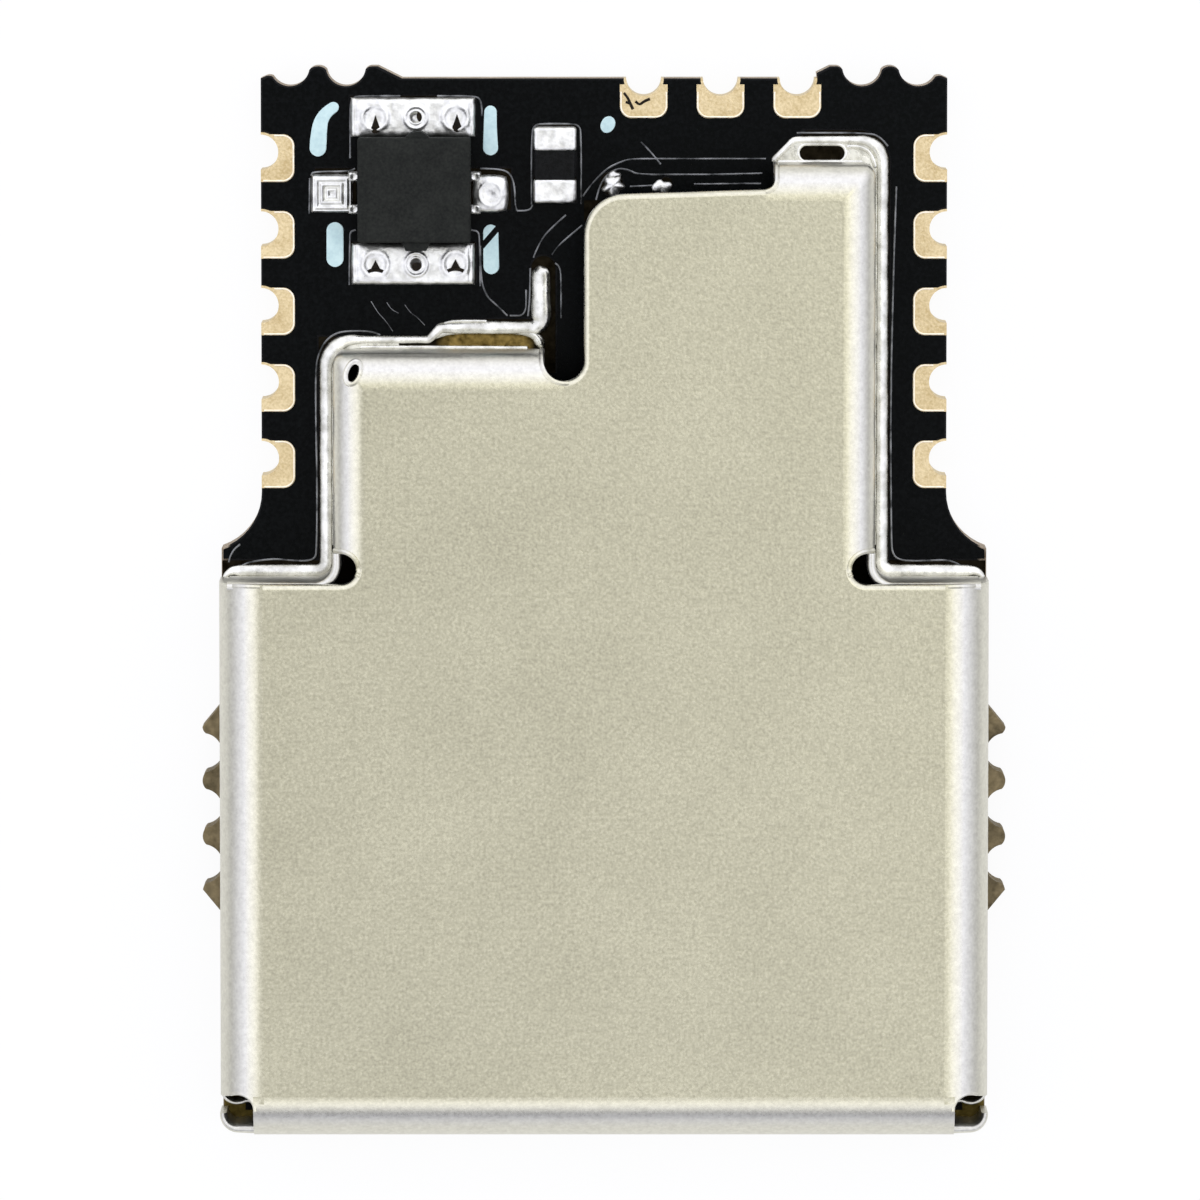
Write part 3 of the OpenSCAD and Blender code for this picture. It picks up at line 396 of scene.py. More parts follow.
def carry(profile, spine, outward, level=0.0, swell=1.0, loop=False, lift=None):
    """Point (k, i) is spine[k] + outward[k] * swell[k] * out[i], at level + lift[k] * up[i]."""
    grow = np.broadcast_to(swell, len(spine))
    rise = grow if lift is None else np.broadcast_to(lift, len(spine))
    plan = spine[:, None, :] + outward[:, None, :] * (grow[:, None] * profile[:, 0])[..., None]
    up = level + rise[:, None] * profile[:, 1]
    points = np.concatenate([plan, up[..., None]], -1).reshape(-1, 3)
    return points, lattice(len(spine), len(profile), loop)


def tube(path, radius, aside, sides=8):
    """A round wire along a path in space; its first side lies square to the path and to aside."""
    along = np.gradient(path, axis=0)
    first = np.cross(along, np.array(aside, float))
    first /= np.linalg.norm(first, axis=1, keepdims=True)
    second = np.cross(along, first)
    second /= np.linalg.norm(second, axis=1, keepdims=True)
    turn = np.arange(sides) * 2 * np.pi / sides
    ring = np.cos(turn)[:, None] * first[:, None] + np.sin(turn)[:, None] * second[:, None]
    return (path[:, None] + radius * ring).reshape(-1, 3), lattice(len(path), sides)


def stack(outline, outward, offsets, heights):
    """Ring j is the outline moved out by offsets[j], at heights[j]; first and last are closed."""
    plan = outline[None] + outward[None] * np.asarray(offsets)[:, None, None]
    up = np.broadcast_to(np.asarray(heights)[:, None, None], (*plan.shape[:2], 1))
    return np.concatenate([plan, up], -1).reshape(-1, 3), lattice(*plan.shape[:2])


def slab(outline, low=-1.0, high=4.0):
    """A flat piece or a cutter: an outline, anticlockwise in plan, raised from low to high."""
    outline = np.array(outline, float)
    return stack(outline, np.zeros_like(outline), [0.0, 0.0], [low, high])


def pillow(centre, size, height, squeeze, cells):
    """Height over a grid u, v in -1..1, whose square is drawn in by squeeze towards an ellipse:
    x = half width * u * sqrt(1 - squeeze * v^2 / 2), and y the same way. The rim drops to the
    board."""
    line = np.concatenate([[-1.0], np.linspace(-1.0, 1.0, cells), [1.0]])
    lift = np.concatenate([[0.0], np.ones(cells), [0.0]])
    u, v = np.meshgrid(line, line, indexing="ij")
    x = centre[0] + size[0] / 2 * u * np.sqrt(1 - squeeze * v**2 / 2)
    y = centre[1] + size[1] / 2 * v * np.sqrt(1 - squeeze * u**2 / 2)
    z = BOARD + height(u, v) * np.outer(lift, lift)
    count = len(line)
    edge = np.arange(count)
    corner = (edge[:-1, None] * count + edge[None, :-1]).reshape(-1)
    quads = np.stack([corner, corner + count, corner + count + 1, corner + 1], -1).tolist()
    ring = np.concatenate([edge[:-1] * count, (count - 1) * count + edge[:-1],
                           edge[:0:-1] * count + count - 1, edge[:0:-1]])
    return np.stack([x, y, z], -1).reshape(-1, 3), quads + [ring[::-1].tolist()]


def rounded(centre, size, radius, steps=7):
    """Outline of a rounded rectangle, four quarter circles anticlockwise, and its normals."""
    quarter = np.linspace(0.0, np.pi / 2, steps)
    outward = compass(np.concatenate([quarter + k * np.pi / 2 for k in range(4)]))
    reach = np.repeat([[1, 1], [-1, 1], [-1, -1], [1, -1]], steps, axis=0)
    return np.array(centre) + reach * (np.array(size) / 2 - radius) + radius * outward, outward


def block(centre, size, top, radius, edge):
    """A rounded rectangle stacked to a block on the board; its top edge is a quarter round."""
    bend = np.linspace(0.0, np.pi / 2, 6)
    offsets = np.concatenate([[0.0], edge * (np.cos(bend) - 1)])
    heights = np.concatenate([[BOARD], top - edge + edge * np.sin(bend)])
    return stack(*rounded(centre, size, radius), offsets, heights)


def route(start, heading, moves, step=0.04):
    """Walks a path: a move is a length straight on, or (degrees, radius) of an arc to turn on."""
    place, angle = np.array(start, float), np.radians(heading)
    spots, bearings = [place[None]], [np.array([angle])]
    for move in moves:
        if isinstance(move, float):
            along = np.linspace(0, move, max(2, int(move / step) + 1))[1:, None]
            spot = place + along * np.array([np.cos(angle), np.sin(angle)])
            bearing = np.full(len(along), angle)
        else:
            degrees, radius = move
            side = np.sign(degrees) * radius
            centre = place + side * np.array([-np.sin(angle), np.cos(angle)])
            swing = np.linspace(0, degrees, max(4, int(abs(degrees) / 7) + 1))
            bearing = angle + np.radians(swing)[1:]
            spot = centre + side * np.stack([np.sin(bearing), -np.cos(bearing)], -1)
            angle = bearing[-1]
        place = spot[-1]
        spots.append(spot)
        bearings.append(bearing)
    bearing = np.concatenate(bearings)
    return np.concatenate(spots), np.stack([np.sin(bearing), -np.cos(bearing)], -1)


def trail(points, rounds=3):
    """A smooth line from a rough one: each round cuts every corner a quarter along its sides."""
    line = np.array(points, float)
    for _ in range(rounds):
        near, far = 0.75 * line[:-1] + 0.25 * line[1:], 0.25 * line[:-1] + 0.75 * line[1:]
        line = np.concatenate([line[:1], np.stack([near, far], 1).reshape(-1, 2), line[-1:]])
    along = np.gradient(line, axis=0)
    along /= np.linalg.norm(along, axis=1, keepdims=True)
    return line, np.stack([along[:, 1], -along[:, 0]], -1)


def walked(spine):
    """Distance from the start of a path to each of its points."""
    return np.concatenate([[0.0], np.cumsum(np.hypot(*np.diff(spine, axis=0).T))])


def arc(centre, radius, first, last, steps=25):
    """Points of a circle from first to last degrees."""
    return np.array(centre) + radius * compass(np.radians(np.linspace(first, last, steps)))


def mirrored(skin, side):
    """A skin, or its mirror image in the plane x = 0."""
    return skin[0] * [side, 1, 1], skin[1]


print("skins ready: carry, tube, stack, slab, pillow, block")

# %% [markdown]
# ## The shield can
# The can is one sheet, 0.15 mm thick. Its flat top ends at fold lines, and beyond each line
# the sheet bends down to a wall: on a 0.74 mm radius along the wide part, which stands flush
# with the board's edges, and more tightly round the neck, a little wider along its top edges.
# A fold is a profile carried along its fold line: outside arc, foot, inside arc. At a corner
# the line shrinks to a point and the profile swings round it, pushed out along the diagonal,
# so that the corner stays tight and wall, corner and wall are one skin.

# %% Folds and walls
TOP, SHEET = 2.4, 0.15
WIDE, BROW, NARROW, DROP = 0.74, 0.71, 0.535, 0.43
SIDE, NECK, FRONT, SHOULDER, SLOT_Y = 5.62, 3.93, -8.08, 0.42, 0.67
LEFT_TOP, LEFT_END, LEFT_WIDE = 3.62, -0.66, 1.11
RIGHT_TOP, RIGHT_END, RIGHT_WIDE = 6.735, 2.65, 1.075


def fold(line, normals, bend, drop):
    """A wall section, with its fold's middle at out = 0, carried along a fold line; the fold is
    a quarter ellipse that runs out by bend and down by drop."""
    swing = np.linspace(0.0, np.pi / 2, 25)
    arcs = [np.stack([(bend - t) * np.sin(swing), TOP - drop + (drop - t) * np.cos(swing)], -1)
            for t in (0.0, SHEET)]
    section = np.concatenate([arcs[0], [[bend, BOARD], [bend - SHEET, BOARD]], arcs[1][::-1]])
    return carry(section, np.array(line, float), np.array(normals, float), lift=1.0)


def neck_fold(start, corner, end, first, last, wide):
    """A fold from start round a tight corner to end, wider along Y, that faces first degrees and
    then last. At the corner the line stays on one spot: a third of its outward direction swings,
    and the rest points along the diagonal, 1 each way."""
    turn = np.radians(np.linspace(first, last, 31))
    swing = compass(turn)
    middle = np.array([np.cos(turn).mean(), np.sin(turn).mean()])
    diagonal = np.sqrt(2) * middle / np.hypot(*middle)
    line = [start, corner, *[corner] * len(turn), corner, end]
    ways = [np.rint(swing[[0, 0]]), 0.34 * swing + 0.66 * diagonal, np.rint(swing[[-1, -1]])]
    return fold(line, np.concatenate(ways) * [1, wide], NARROW, DROP)


left_fold = neck_fold((-NECK, SLOT_Y), (-NECK, LEFT_TOP), (LEFT_END, LEFT_TOP),
                      180.0, 90.0, LEFT_WIDE)
right_fold = neck_fold((RIGHT_END, RIGHT_TOP), (NECK, RIGHT_TOP), (NECK, SLOT_Y),
                       90.0, 0.0, RIGHT_WIDE)
front_fold = fold([[-5.8, FRONT], [5.8, FRONT]], [[0, -1], [0, -1]], BROW, BROW)
side_folds = [fold([[s * SIDE, -8.2], [s * SIDE, SHOULDER]], [[s, 0], [s, 0]], WIDE, WIDE)
              for s in (-1, 1)]
print("folds:", 3 + len(side_folds))

# %% [markdown]
# The flat top is a sheet whose outline is partly fold lines and partly cut edges. A punch
# rolls the top edge of a cut over before it breaks through, and that roll is the bright
# line round every opening. So each cut edge carries a small quarter round, and the fold
# lines between them stay square, because the walls start there.

# %% The flat top
ROLL = 0.09
turn = np.linspace(0.0, np.pi / 2, 7)
SQUARE = np.array([[0.0, TOP], [0.0, TOP - SHEET]])
EDGE = np.concatenate([
    np.stack([ROLL * (np.sin(turn) - 1), TOP - ROLL * (1 - np.cos(turn))], -1), SQUARE[1:]])


def cut_edge(spine, outward, profile=EDGE):
    """Columns of points down the sheet's edge, one for each point of the path."""
    plan = spine[:, None, :] + outward[:, None, :] * profile[None, :, :1]
    return np.concatenate([plan, np.broadcast_to(profile[None, :, 1:], (*plan.shape[:2], 1))], -1)


def flat_sheet(runs):
    """Closes a sheet from its edge runs: grids along cut edges, one upright face along each fold
    line from run to run, and one face each for the top and the underside."""
    skins = []
    for run, following in zip(runs, runs[1:] + runs[:1]):
        rows, columns = run.shape[:2]
        if rows > 1:
            k = np.arange(rows - 1)[:, None] * columns + np.arange(columns - 1)[None, :]
            quads = np.stack([k, k + columns, k + columns + 1, k + 1], -1).reshape(-1, 4)
            skins.append((run.reshape(-1, 3), quads.tolist()))
        joint = np.concatenate([run[-1], following[0][::-1]])
        skins.append((joint, [list(range(len(joint)))]))
    for level in (0, -1):
        rim_line = np.concatenate([run[:, level] for run in runs])
        skins.append((rim_line, [list(range(len(rim_line)))]))
    return skins


def square(x, y):
    """One square corner of the sheet, where two fold lines meet."""
    return cut_edge(np.array([[x, y]]), np.array([[0.0, 0.0]]), SQUARE)


OPEN, SLOT_X, SLOT_R = 6.925, 4.32, 0.25
NOTCH, NOTCH_R = np.array([LEFT_END, 4.106]), 0.33
run, bend = SIDE - SLOT_X, (-90.0, SLOT_R)
shoulder_right = cut_edge(*route((SIDE, SHOULDER), 180.0, [run, bend], 0.3))
shoulder_left = cut_edge(*route((-SLOT_X + SLOT_R, SLOT_Y), -90.0, [bend, run], 0.3))
opening = cut_edge(*route((RIGHT_END, OPEN), 181.8, [
    2.322, (88.2, 0.68), OPEN - 0.753 - NOTCH[1], (-90.0, NOTCH_R)], 0.3))
flat = flat_sheet([
    square(-SIDE, FRONT), square(SIDE, FRONT), shoulder_right, square(NECK, SLOT_Y),
    square(NECK, RIGHT_TOP), square(RIGHT_END, RIGHT_TOP), opening, square(LEFT_END, LEFT_TOP),
    square(-NECK, LEFT_TOP), square(-NECK, SLOT_Y), shoulder_left])
print("sheet runs closed:", len(flat))

# %% [markdown]
# The relief slots, the notch, the fillet at the open edge, the pockets at the front corners
# and the hole in the left corner pass through curved walls, so they are punched out: a
# Boolean modifier takes a cutter from the fold, as a die would.

# %% Punch the folds
def punched(skin, cutters, name):
    """A skin, or a mesh in millimetres, with every cutter taken away by one Boolean modifier."""
    shape = skin if isinstance(skin, bpy.types.Mesh) else skin_mesh(name, [skin])
    blank = bpy.data.objects.new(name, shape)
    die = bpy.data.objects.new(name + "_die", skin_mesh(name + "_die", cutters))
    for part in (blank, die):
        bpy.context.scene.collection.objects.link(part)
    cut = blank.modifiers.new("punch", "BOOLEAN")
    cut.operation, cut.solver, cut.object = "DIFFERENCE", "EXACT", die
    depsgraph = bpy.context.evaluated_depsgraph_get()
    made = bpy.data.meshes.new_from_object(blank.evaluated_get(depsgraph))
    for part in (blank, die):
        bpy.data.objects.remove(part)
    return made


def on_side(outline, side):
    """An outline drawn on the left, or its mirror image on the right, still anticlockwise."""
    return outline if side < 0 else outline[::-1] * [-1, 1]


POCKET, STEP, SLOT_END = (-6.05, -8.32), (RIGHT_END, 7.075), (-SLOT_X, SLOT_Y)
slot = np.concatenate([
    [[-7.0, 0.3], [-SLOT_X, 0.3]], arc(SLOT_END, SLOT_R, -90.0, 90.0), [[-7.0, 0.92]]])
pocket = np.concatenate([
    [[-6.7, -8.75], [-5.79, -8.75]], arc(POCKET, 0.26, 0.0, 115.0), [[-6.7, -8.2]]])
notch = np.concatenate([
    [[-0.99, 5.0]], arc(NOTCH, NOTCH_R, 180.0, 270.0), [[-0.5, 3.776], [-0.5, 5.0]]])
fillet = np.concatenate([[[2.5, OPEN]], arc(STEP, 0.15, -90.0, 0.0), [[2.8, 7.6], [2.5, 7.6]]])
lean = np.radians(-20.0)
pip = arc((0.0, 0.0), 1.0, 0.0, 345.0, 24) * [0.09, 0.15]
pip = pip @ np.array([[np.cos(lean), np.sin(lean)], [-np.sin(lean), np.cos(lean)]]) + [-4.12, 3.905]
walls = [punched(left_fold, [slab(slot), slab(notch), slab(pip, 1.2)], "left_wall"),
         punched(right_fold, [slab(on_side(slot, 1)), slab(fillet)], "right_wall")]
walls += [punched(side_folds[k], [slab(on_side(pocket, s))], f"side_wall_{k}")
          for k, s in enumerate((-1, 1))]
print("punched wall faces:", [len(shape.polygons) for shape in walls])

# %% [markdown]
# The cut edges on the folds are rolled like those of the flat top. There the edge runs over a
# curve, so its roll is a thin wire laid along it, at the height of the folded sheet.

# %% Rolled edges on the folds
def raised(plan, out, bend=NARROW, drop=DROP):
    """A path in plan laid on the fold's quarter ellipse, sunk a little into the sheet; out is its
    distance from the fold line."""
    share = np.clip(out / bend, 0.0, 1.0)
    return np.column_stack([plan, TOP - drop + drop * np.sqrt(1 - share**2) - 0.025])


def straight(first, last, steps=9):
    """Points from first to last."""
    return np.linspace(first, last, steps)


def climbing(foot, path, out, aside):
    """The roll of an edge that climbs a neck wall at foot and goes on over the fold."""
    climb = straight((*foot, 1.0), (*foot, 1.8))
    return tube(np.concatenate([climb, raised(path, out)]), 0.05, aside)


notch_side = np.concatenate([
    straight((-1.03, 4.19), (-1.03, 4.115), 5), arc(NOTCH, NOTCH_R + 0.04, 180.0, 282.0)])
step_side = np.concatenate([straight((2.84, 7.28), (2.84, 7.09)), arc(STEP, 0.19, 0.0, -90.0, 12)])
slot_side = np.concatenate([
    arc(SLOT_END, SLOT_R + 0.04, -25.0, 90.0), straight((-4.33, 0.96), (-4.43, 0.96), 6)])
end_side = straight((-5.66, 0.38), (-6.315, 0.38), 30)
pocket_side = arc(POCKET, 0.28, 0.0, 115.0)
ring = (pip - pip.mean(0)) * 1.3 + pip.mean(0)
ring = np.concatenate([ring, ring[:1]])
ring_out = np.maximum(-NECK - ring[:, 0], (ring[:, 1] - LEFT_TOP) / LEFT_WIDE)
notch_out = (notch_side[:, 1] - LEFT_TOP) / LEFT_WIDE
step_out = (step_side[:, 1] - RIGHT_TOP) / RIGHT_WIDE
rolls = [climbing((-1.03, 4.195), notch_side, notch_out, (1.0, 0.3, 0.0)),
         climbing((2.84, 7.285), step_side, step_out, (1.0, -0.3, 0.0)),
         tube(raised(ring, ring_out), 0.048, (0.1, 0.1, 1.0))]
slot_roll = tube(raised(slot_side, -NECK - slot_side[:, 0]), 0.05, (0.3, 1.0, 0.2))
end_path = np.concatenate([raised(end_side, -SIDE - end_side[:, 0], WIDE, WIDE),
                           straight((-6.32, 0.385, 1.6), (-6.315, 0.385, 0.82))])
end_roll = tube(end_path, 0.034, (0.0, 1.0, 0.0))
pocket_path = raised(pocket_side, -SIDE - pocket_side[:, 0], WIDE, WIDE)
pocket_roll = tube(pocket_path, 0.03, (0.4, 1.0, 0.0))
rolls += [mirrored(skin, s) for skin in (slot_roll, end_roll, pocket_roll) for s in (1, -1)]
print("rolled edges:", len(rolls))

# %% [markdown]
# At each shoulder the neck wall turns in plan and runs on as an ear below the flat top, and
# at the front corners low ears close the gap between the walls, with a lip of the side wall
# bent in behind them. An ear is a strip on edge: a narrow section with a rounded top, carried
# along the bend.

# %% Ears and the whole can
def strip(thick, high):
    """Section of a sheet on edge: straight sides, and a half round of its thickness on top."""
    turn = np.linspace(0.0, np.pi, 9)
    top = np.stack([thick / 2 * np.cos(turn), high - thick / 2 + thick / 2 * np.sin(turn)], -1)
    return np.concatenate([[[thick / 2, BOARD]], top, [[-thick / 2, BOARD]]])


ear_path = route((4.405, 0.92), -90.0, [0.18, (90.0, 0.375), 1.43])
tip_path = route((5.5, -8.695), 0.0, [0.58, (90.0, 0.24), 0.02])
lip_path = trail([(6.33, -8.12), (6.27, -8.22), (6.15, -8.285), (6.02, -8.275), (5.93, -8.235),
                  (5.87, -8.25)])
ear = carry(strip(SHEET, 2.22), *ear_path)
tip = carry(strip(0.21, 1.75), *tip_path, 0.0, np.linspace(1.0, 0.5, len(tip_path[0])), lift=1.0)
lip = carry(strip(0.06, 1.62), *lip_path)
ears = [mirrored(skin, s) for skin in (ear, tip, lip) for s in (-1, 1)]
sheets = [*flat, front_fold, *ears, *rolls]
add_piece("folded_can", sheets, "nickel_silver", "shield_can", others=walls)

# %% [markdown]
# ## Worn stubs of the board
# The board was broken out of its panel along rows of holes. The stubs between the holes are
# sharp in the solid model, but their tips wear round at once. So the board and its two coats
# are copied from the frame, and the tips are ground off with cutters that leave a half ellipse,
# or a quarter where a stub ends in a slope. The coats stop a little short of the edge.

# %% Worn stubs
WEAR, COAT, MARGIN = 0.13, 0.03, 0.12


def ground(top, along, out, reach, whole, inset):
    """Outline of a cutter over a stub's tip: above an ellipse that is reach wide and WEAR deep, on
    both sides of top or only along the given way."""
    turn = np.linspace(0.0, np.pi if whole else np.pi / 2, 21)
    curve = np.stack([(reach - inset) * np.cos(turn), WEAR * (np.sin(turn) - 1) - inset], -1)
    side, low, high = reach + MARGIN, -WEAR - inset, 0.15
    start = [[-side, low], [-side, high]] if whole else [[0.0, high]]
    local = np.concatenate([curve, start, [[side, high], [side, low]]])
    return np.array(top) + local @ np.array([along, out], float)


SLOPE = np.array([0.923, -0.3846])
EDGE_Y, EDGE_X = 8.89, 6.68
TIPS = [((4.735, EDGE_Y), (1, 0), (0, 1), 0.166, True),
        ((3.84, EDGE_Y), (1, 0), (0, 1), 0.131, False),
        (np.array([5.5046, 8.763]) + 0.1 * SLOPE, -SLOPE, SLOPE[::-1] * [-1, 1], 0.131, False)]
TIPS += [((EDGE_X, y), (0, 1), (1, 0), reach, True)
         for y, reach in ((-2.99, 0.166), (-3.92, 0.166), (-2.08, 0.146), (-4.83, 0.146))]


def worn(node, inset):
    """A copy of a node's mesh, in millimetres, with every stub tip ground off on both sides."""
    shape = frame["nodes"][node].data.copy()
    shape.transform(Matrix.Scale(1 / MM, 4))
    weld = bmesh.new()
    weld.from_mesh(shape)
    bmesh.ops.remove_doubles(weld, verts=weld.verts, dist=1e-4)
    weld.to_mesh(shape)
    weld.free()
    cutters = [slab(ground(*tip, inset) * [s, 1]) for tip in TIPS for s in (-1, 1)]
    made = punched(shape, cutters, node + "_worn")
    made.materials.clear()
    return made


INSETS = {"circuit_board": 0.0, "solder_mask_top": COAT, "solder_mask_bottom": COAT}
for node, inset in INSETS.items():
    add_piece(node + "_worn", worn(node, inset), SLOT[node], node)

# %% [markdown]
# ## Solder that holds the can
# The neck's feet stand in a bead of solder that has run along the land. A bead is a low round
# section carried along the land's route. Its size follows a short table, and wavers a little,
# because the paste was never quite even.

# %% Solder beads
def waver(distance, seed, depth=0.05):
    """A slow wave, 1 on average: three sines of unlike length and a fixed start."""
    s = np.asarray(distance) * 2 * np.pi
    waves = np.sin(s / 0.9 + seed) + 0.6 * np.sin(s / 0.37 + 2.1 * seed)
    return 1 + depth * (waves + 0.4 * np.sin(s / 0.17 + 0.7 * seed)) / 2


def tapered(along, radius, least):
    """Shares that draw both ends of a path in as a quarter circle, and never below sqrt(least)."""
    near = np.minimum(np.minimum(along, along[-1] - along) / radius, 1.0)
    return np.sqrt(np.maximum(1 - (1 - near) ** 2, least))


def bead(path, sizes, seed, rise=1.0, lean=0.0):
    """A round section, half sunk at the land, carried along a path, its crest leaning to the right
    of the walk; sizes are (distance, radius) pairs, and both ends are drawn in."""
    spine, outward = path
    along = walked(spine)
    radius = np.interp(along, *np.transpose(sizes))
    turn = np.linspace(-0.25, np.pi + 0.25, 15)
    section = np.stack([np.cos(turn) + lean * np.sin(turn), rise * np.sin(turn)], -1)
    swell = radius * tapered(along, radius, 0.05) * waver(along, seed)
    return carry(section, spine, outward, BOARD, swell)


SHOULDER_RUN = [(-75.0, 0.2), 1.35, (90.0, 0.15)]
SHOULDER_SIZES = [(0, 0.03), (0.35, 0.09), (1.6, 0.1), (2.0, 0.1)]
left_path = route((-6.31, 0.38), 75.0, SHOULDER_RUN + [
    3.2, (-90.0, 0.49), 1.177, (45.0, 0.12), 0.1834, (-45.0, 0.12),
    1.45, (90.0, 0.15), 0.87])
left_sizes = SHOULDER_SIZES + [
    (4.9, 0.1), (5.4, 0.12), (5.8, 0.08), (6.0, 0.06), (7.0, 0.06), (7.4, 0.085), (7.6, 0.1),
    (8.8, 0.1), (9.1, 0.16), (9.5, 0.15), (10.2, 0.15)]
right_path = route((-6.31, 0.38), 75.0, SHOULDER_RUN + [
    6.62, (-90.0, 0.38), 1.03, (-45.0, 0.15), 0.45])
right_sizes = SHOULDER_SIZES + [
    (7.8, 0.09), (8.7, 0.1), (9.1, 0.065), (10.2, 0.055), (10.8, 0.045)]
beads = [bead(left_path, left_sizes, 1.0, 0.8, 0.45),
         mirrored(bead(right_path, right_sizes, 2.3, 0.8, 0.45), -1)]
print("bead lengths:", *(round(walked(path[0])[-1], 2) for path in (left_path, right_path)))

# %% [markdown]
# Between bead and wall the land is wetted by a thin film of solder, and thinner lines follow
# the feet of the two top walls. On the right a slot stayed open: there the film is punched,
# and a line of solder rings it.

# %% Solder film and fillets
def film(points, half, low=0.79, high=0.82):
    """A flat ribbon of solder along a smooth line, half as wide each way, with slanted edges."""
    section = np.array([[half, low], [half - 0.02, high], [0.02 - half, high], [-half, low]])
    return carry(section, *trail(points), lift=1.0)


FOOT = [(-4.56, 0.95), (-4.56, 3.8), (-4.5, 4.07), (-4.38, 4.22), (-4.2, 4.29), (-3.4, 4.29)]
APRON = [(2.88, 7.28), (4.4, 7.28), (4.48, 7.05), (4.6, 7.05), (4.6, 7.42), (4.45, 7.6),
         (4.25, 7.68), (3.32, 7.68), (3.12, 7.6), (2.88, 7.36)]
THREADS = [  # points, sizes and seed of each thin line
    ([(-4.05, 4.235), (-3.2, 4.235), (-2.6, 4.23), (-1.25, 4.22)],
     [(0, 0.035), (1.2, 0.04), (2.8, 0.045)], 0.3),
    ([(-3.0, 4.33), (-2.6, 4.48), (-2.3, 4.5), (-1.4, 4.5), (-1.15, 4.45), (-1.05, 4.3),
      (-1.06, 4.22)], [(0, 0.04), (1.6, 0.05), (2.0, 0.09), (2.3, 0.08)], 1.9),
    ([(-2.66, 4.625), (-2.5, 4.675), (-1.93, 4.665)], [(0, 0.03), (0.7, 0.03)], 2.9),
    ([(2.86, 7.305), (3.5, 7.305), (4.3, 7.305)], [(0, 0.05), (1.4, 0.045)], 0.9),
    ([(4.0, 7.56), (4.25, 7.56), (4.42, 7.46), (4.5, 7.2)], [(0, 0.05), (0.6, 0.05)], 2.2),
]
hole, hole_out = rounded((3.61, 7.455), (0.75, 0.25), 0.12)
apron = punched(slab(APRON, 0.79, 0.83), [slab(hole, 0.5, 1.0)], "solder_apron")
fillets = [film(FOOT, 0.085), film([(4.56, 0.95), (4.56, 7.1)], 0.08)]
fillets += [bead(trail(points), sizes, seed) for points, sizes, seed in THREADS]
section = compass(np.linspace(-0.25, 3.4, 11))
fillets += [carry(section, hole + 0.02 * hole_out, hole_out, 0.81, 0.03, True)]
add_piece("solder_beads", beads + fillets, "solder", "shield_solder", others=[apron])

# %% [markdown]
# Drops of solder lie loose beside the can's round corner. A drop is a dome whose rim
# swells and shrinks round the compass, so it reads as spilt metal and not as a button.

# %% Solder drops
def drop_of_solder(centre, radius, height, lobes, depth, seed):
    """A dome, height * sqrt(1 - s^2) high at share s of its radius; its rim swells in lobes."""
    share, turn = np.linspace(1.0, 0.05, 12), np.linspace(0, 2 * np.pi, 48, endpoint=False)
    swell = depth * np.cos(lobes * turn + seed), 0.5 * depth * np.sin((lobes + 2) * turn + 2 * seed)
    pull = compass(turn) * (radius * (1 + swell[0] + swell[1]))[:, None]
    return stack(np.array(centre) + pull, pull, share - 1, BOARD + height * np.sqrt(1 - share**2))


drops = [drop_of_solder((0.15, 6.92), 0.17, 0.12, 5, 0.14, 1.0),
         drop_of_solder((0.17, 7.09), 0.09, 0.08, 2, 0.2, 0.6),
         drop_of_solder((0.96, 6.9), 0.13, 0.06, 2, 0.25, 0.2)]
add_piece("solder_drops", drops, "solder", "solder_blobs", tin)

# %% [markdown]
# ## The four-terminal filter
# A matte black block with softened edges sits between four bright terminals. Its long ends
# have a black tab over each terminal, and the terminals have three dimples each, where plated
# holes went down to the board. They are heights over a grid: a plateau with rolled edges, minus
# a bowl at each outer dimple, with a ringed hole between.

# %% Filter body
TAB = 1.46
tabs = [slab([(-3.35, 6.04), (-3.274, 5.867), (-2.934, 5.867), (-2.845, 6.04)], BOARD, TAB),
        slab(arc((-3.08, 7.59), 0.245, 20.0, 160.0, 15), BOARD, TAB)]
shell = block((-3.134, 6.866), (1.866, 1.73), 1.5, 0.04, 0.03)
add_piece("filter_block", [shell, *tabs], "filter_black", "filter_body")


# %% Filter end terminals
def hump(away, width, power=2):
    """1 where away is 0, falling off within width; a higher power has a flatter top."""
    return np.exp(-((away / width) ** power))


def end_height(u, v):
    """Plateau 0.15 mm high with rolled edges and a line inside them; a shallow bowl with a raised
    rim at each outer dimple, and a ringed hole between."""
    x, y = 1.035 * u, 0.325 * v
    roll = (1 - np.abs(u) ** 24) ** 0.5 * (1 - np.abs(v) ** 10) ** 0.5
    bowls = 0.0
    for c in (-0.63, 0.71):
        far = np.hypot(x - c, y)
        raised_rim = 0.04 + 0.24 * ((x - c) / (far + 0.01)) ** 2
        bowls = bowls - 0.14 * hump(far, 0.16, 6) + raised_rim * hump(far - 0.21, 0.04)
    away = np.hypot(x - 0.05, y)
    rings = 0.22 * hump(away - 0.18, 0.03) + 0.1 * hump(away - 0.11, 0.02)
    rings = rings - 0.4 * hump(away, 0.08, 4)
    inset = -0.12 * hump(np.abs(x) - 0.95, 0.025)
    return 0.02 + 0.13 * roll * (1 + bowls + rings + inset)


FILTER = np.array([-3.16, 6.86])
ends = [pillow(FILTER + [0.0, 1.19], (2.07, 0.65), end_height, 0.03, 160),
        pillow(FILTER + [0.0, -1.24], (2.05, 0.69), end_height, 0.03, 160)]
add_piece("filter_ends", ends, "solder", "filter_end_terminals", tin)


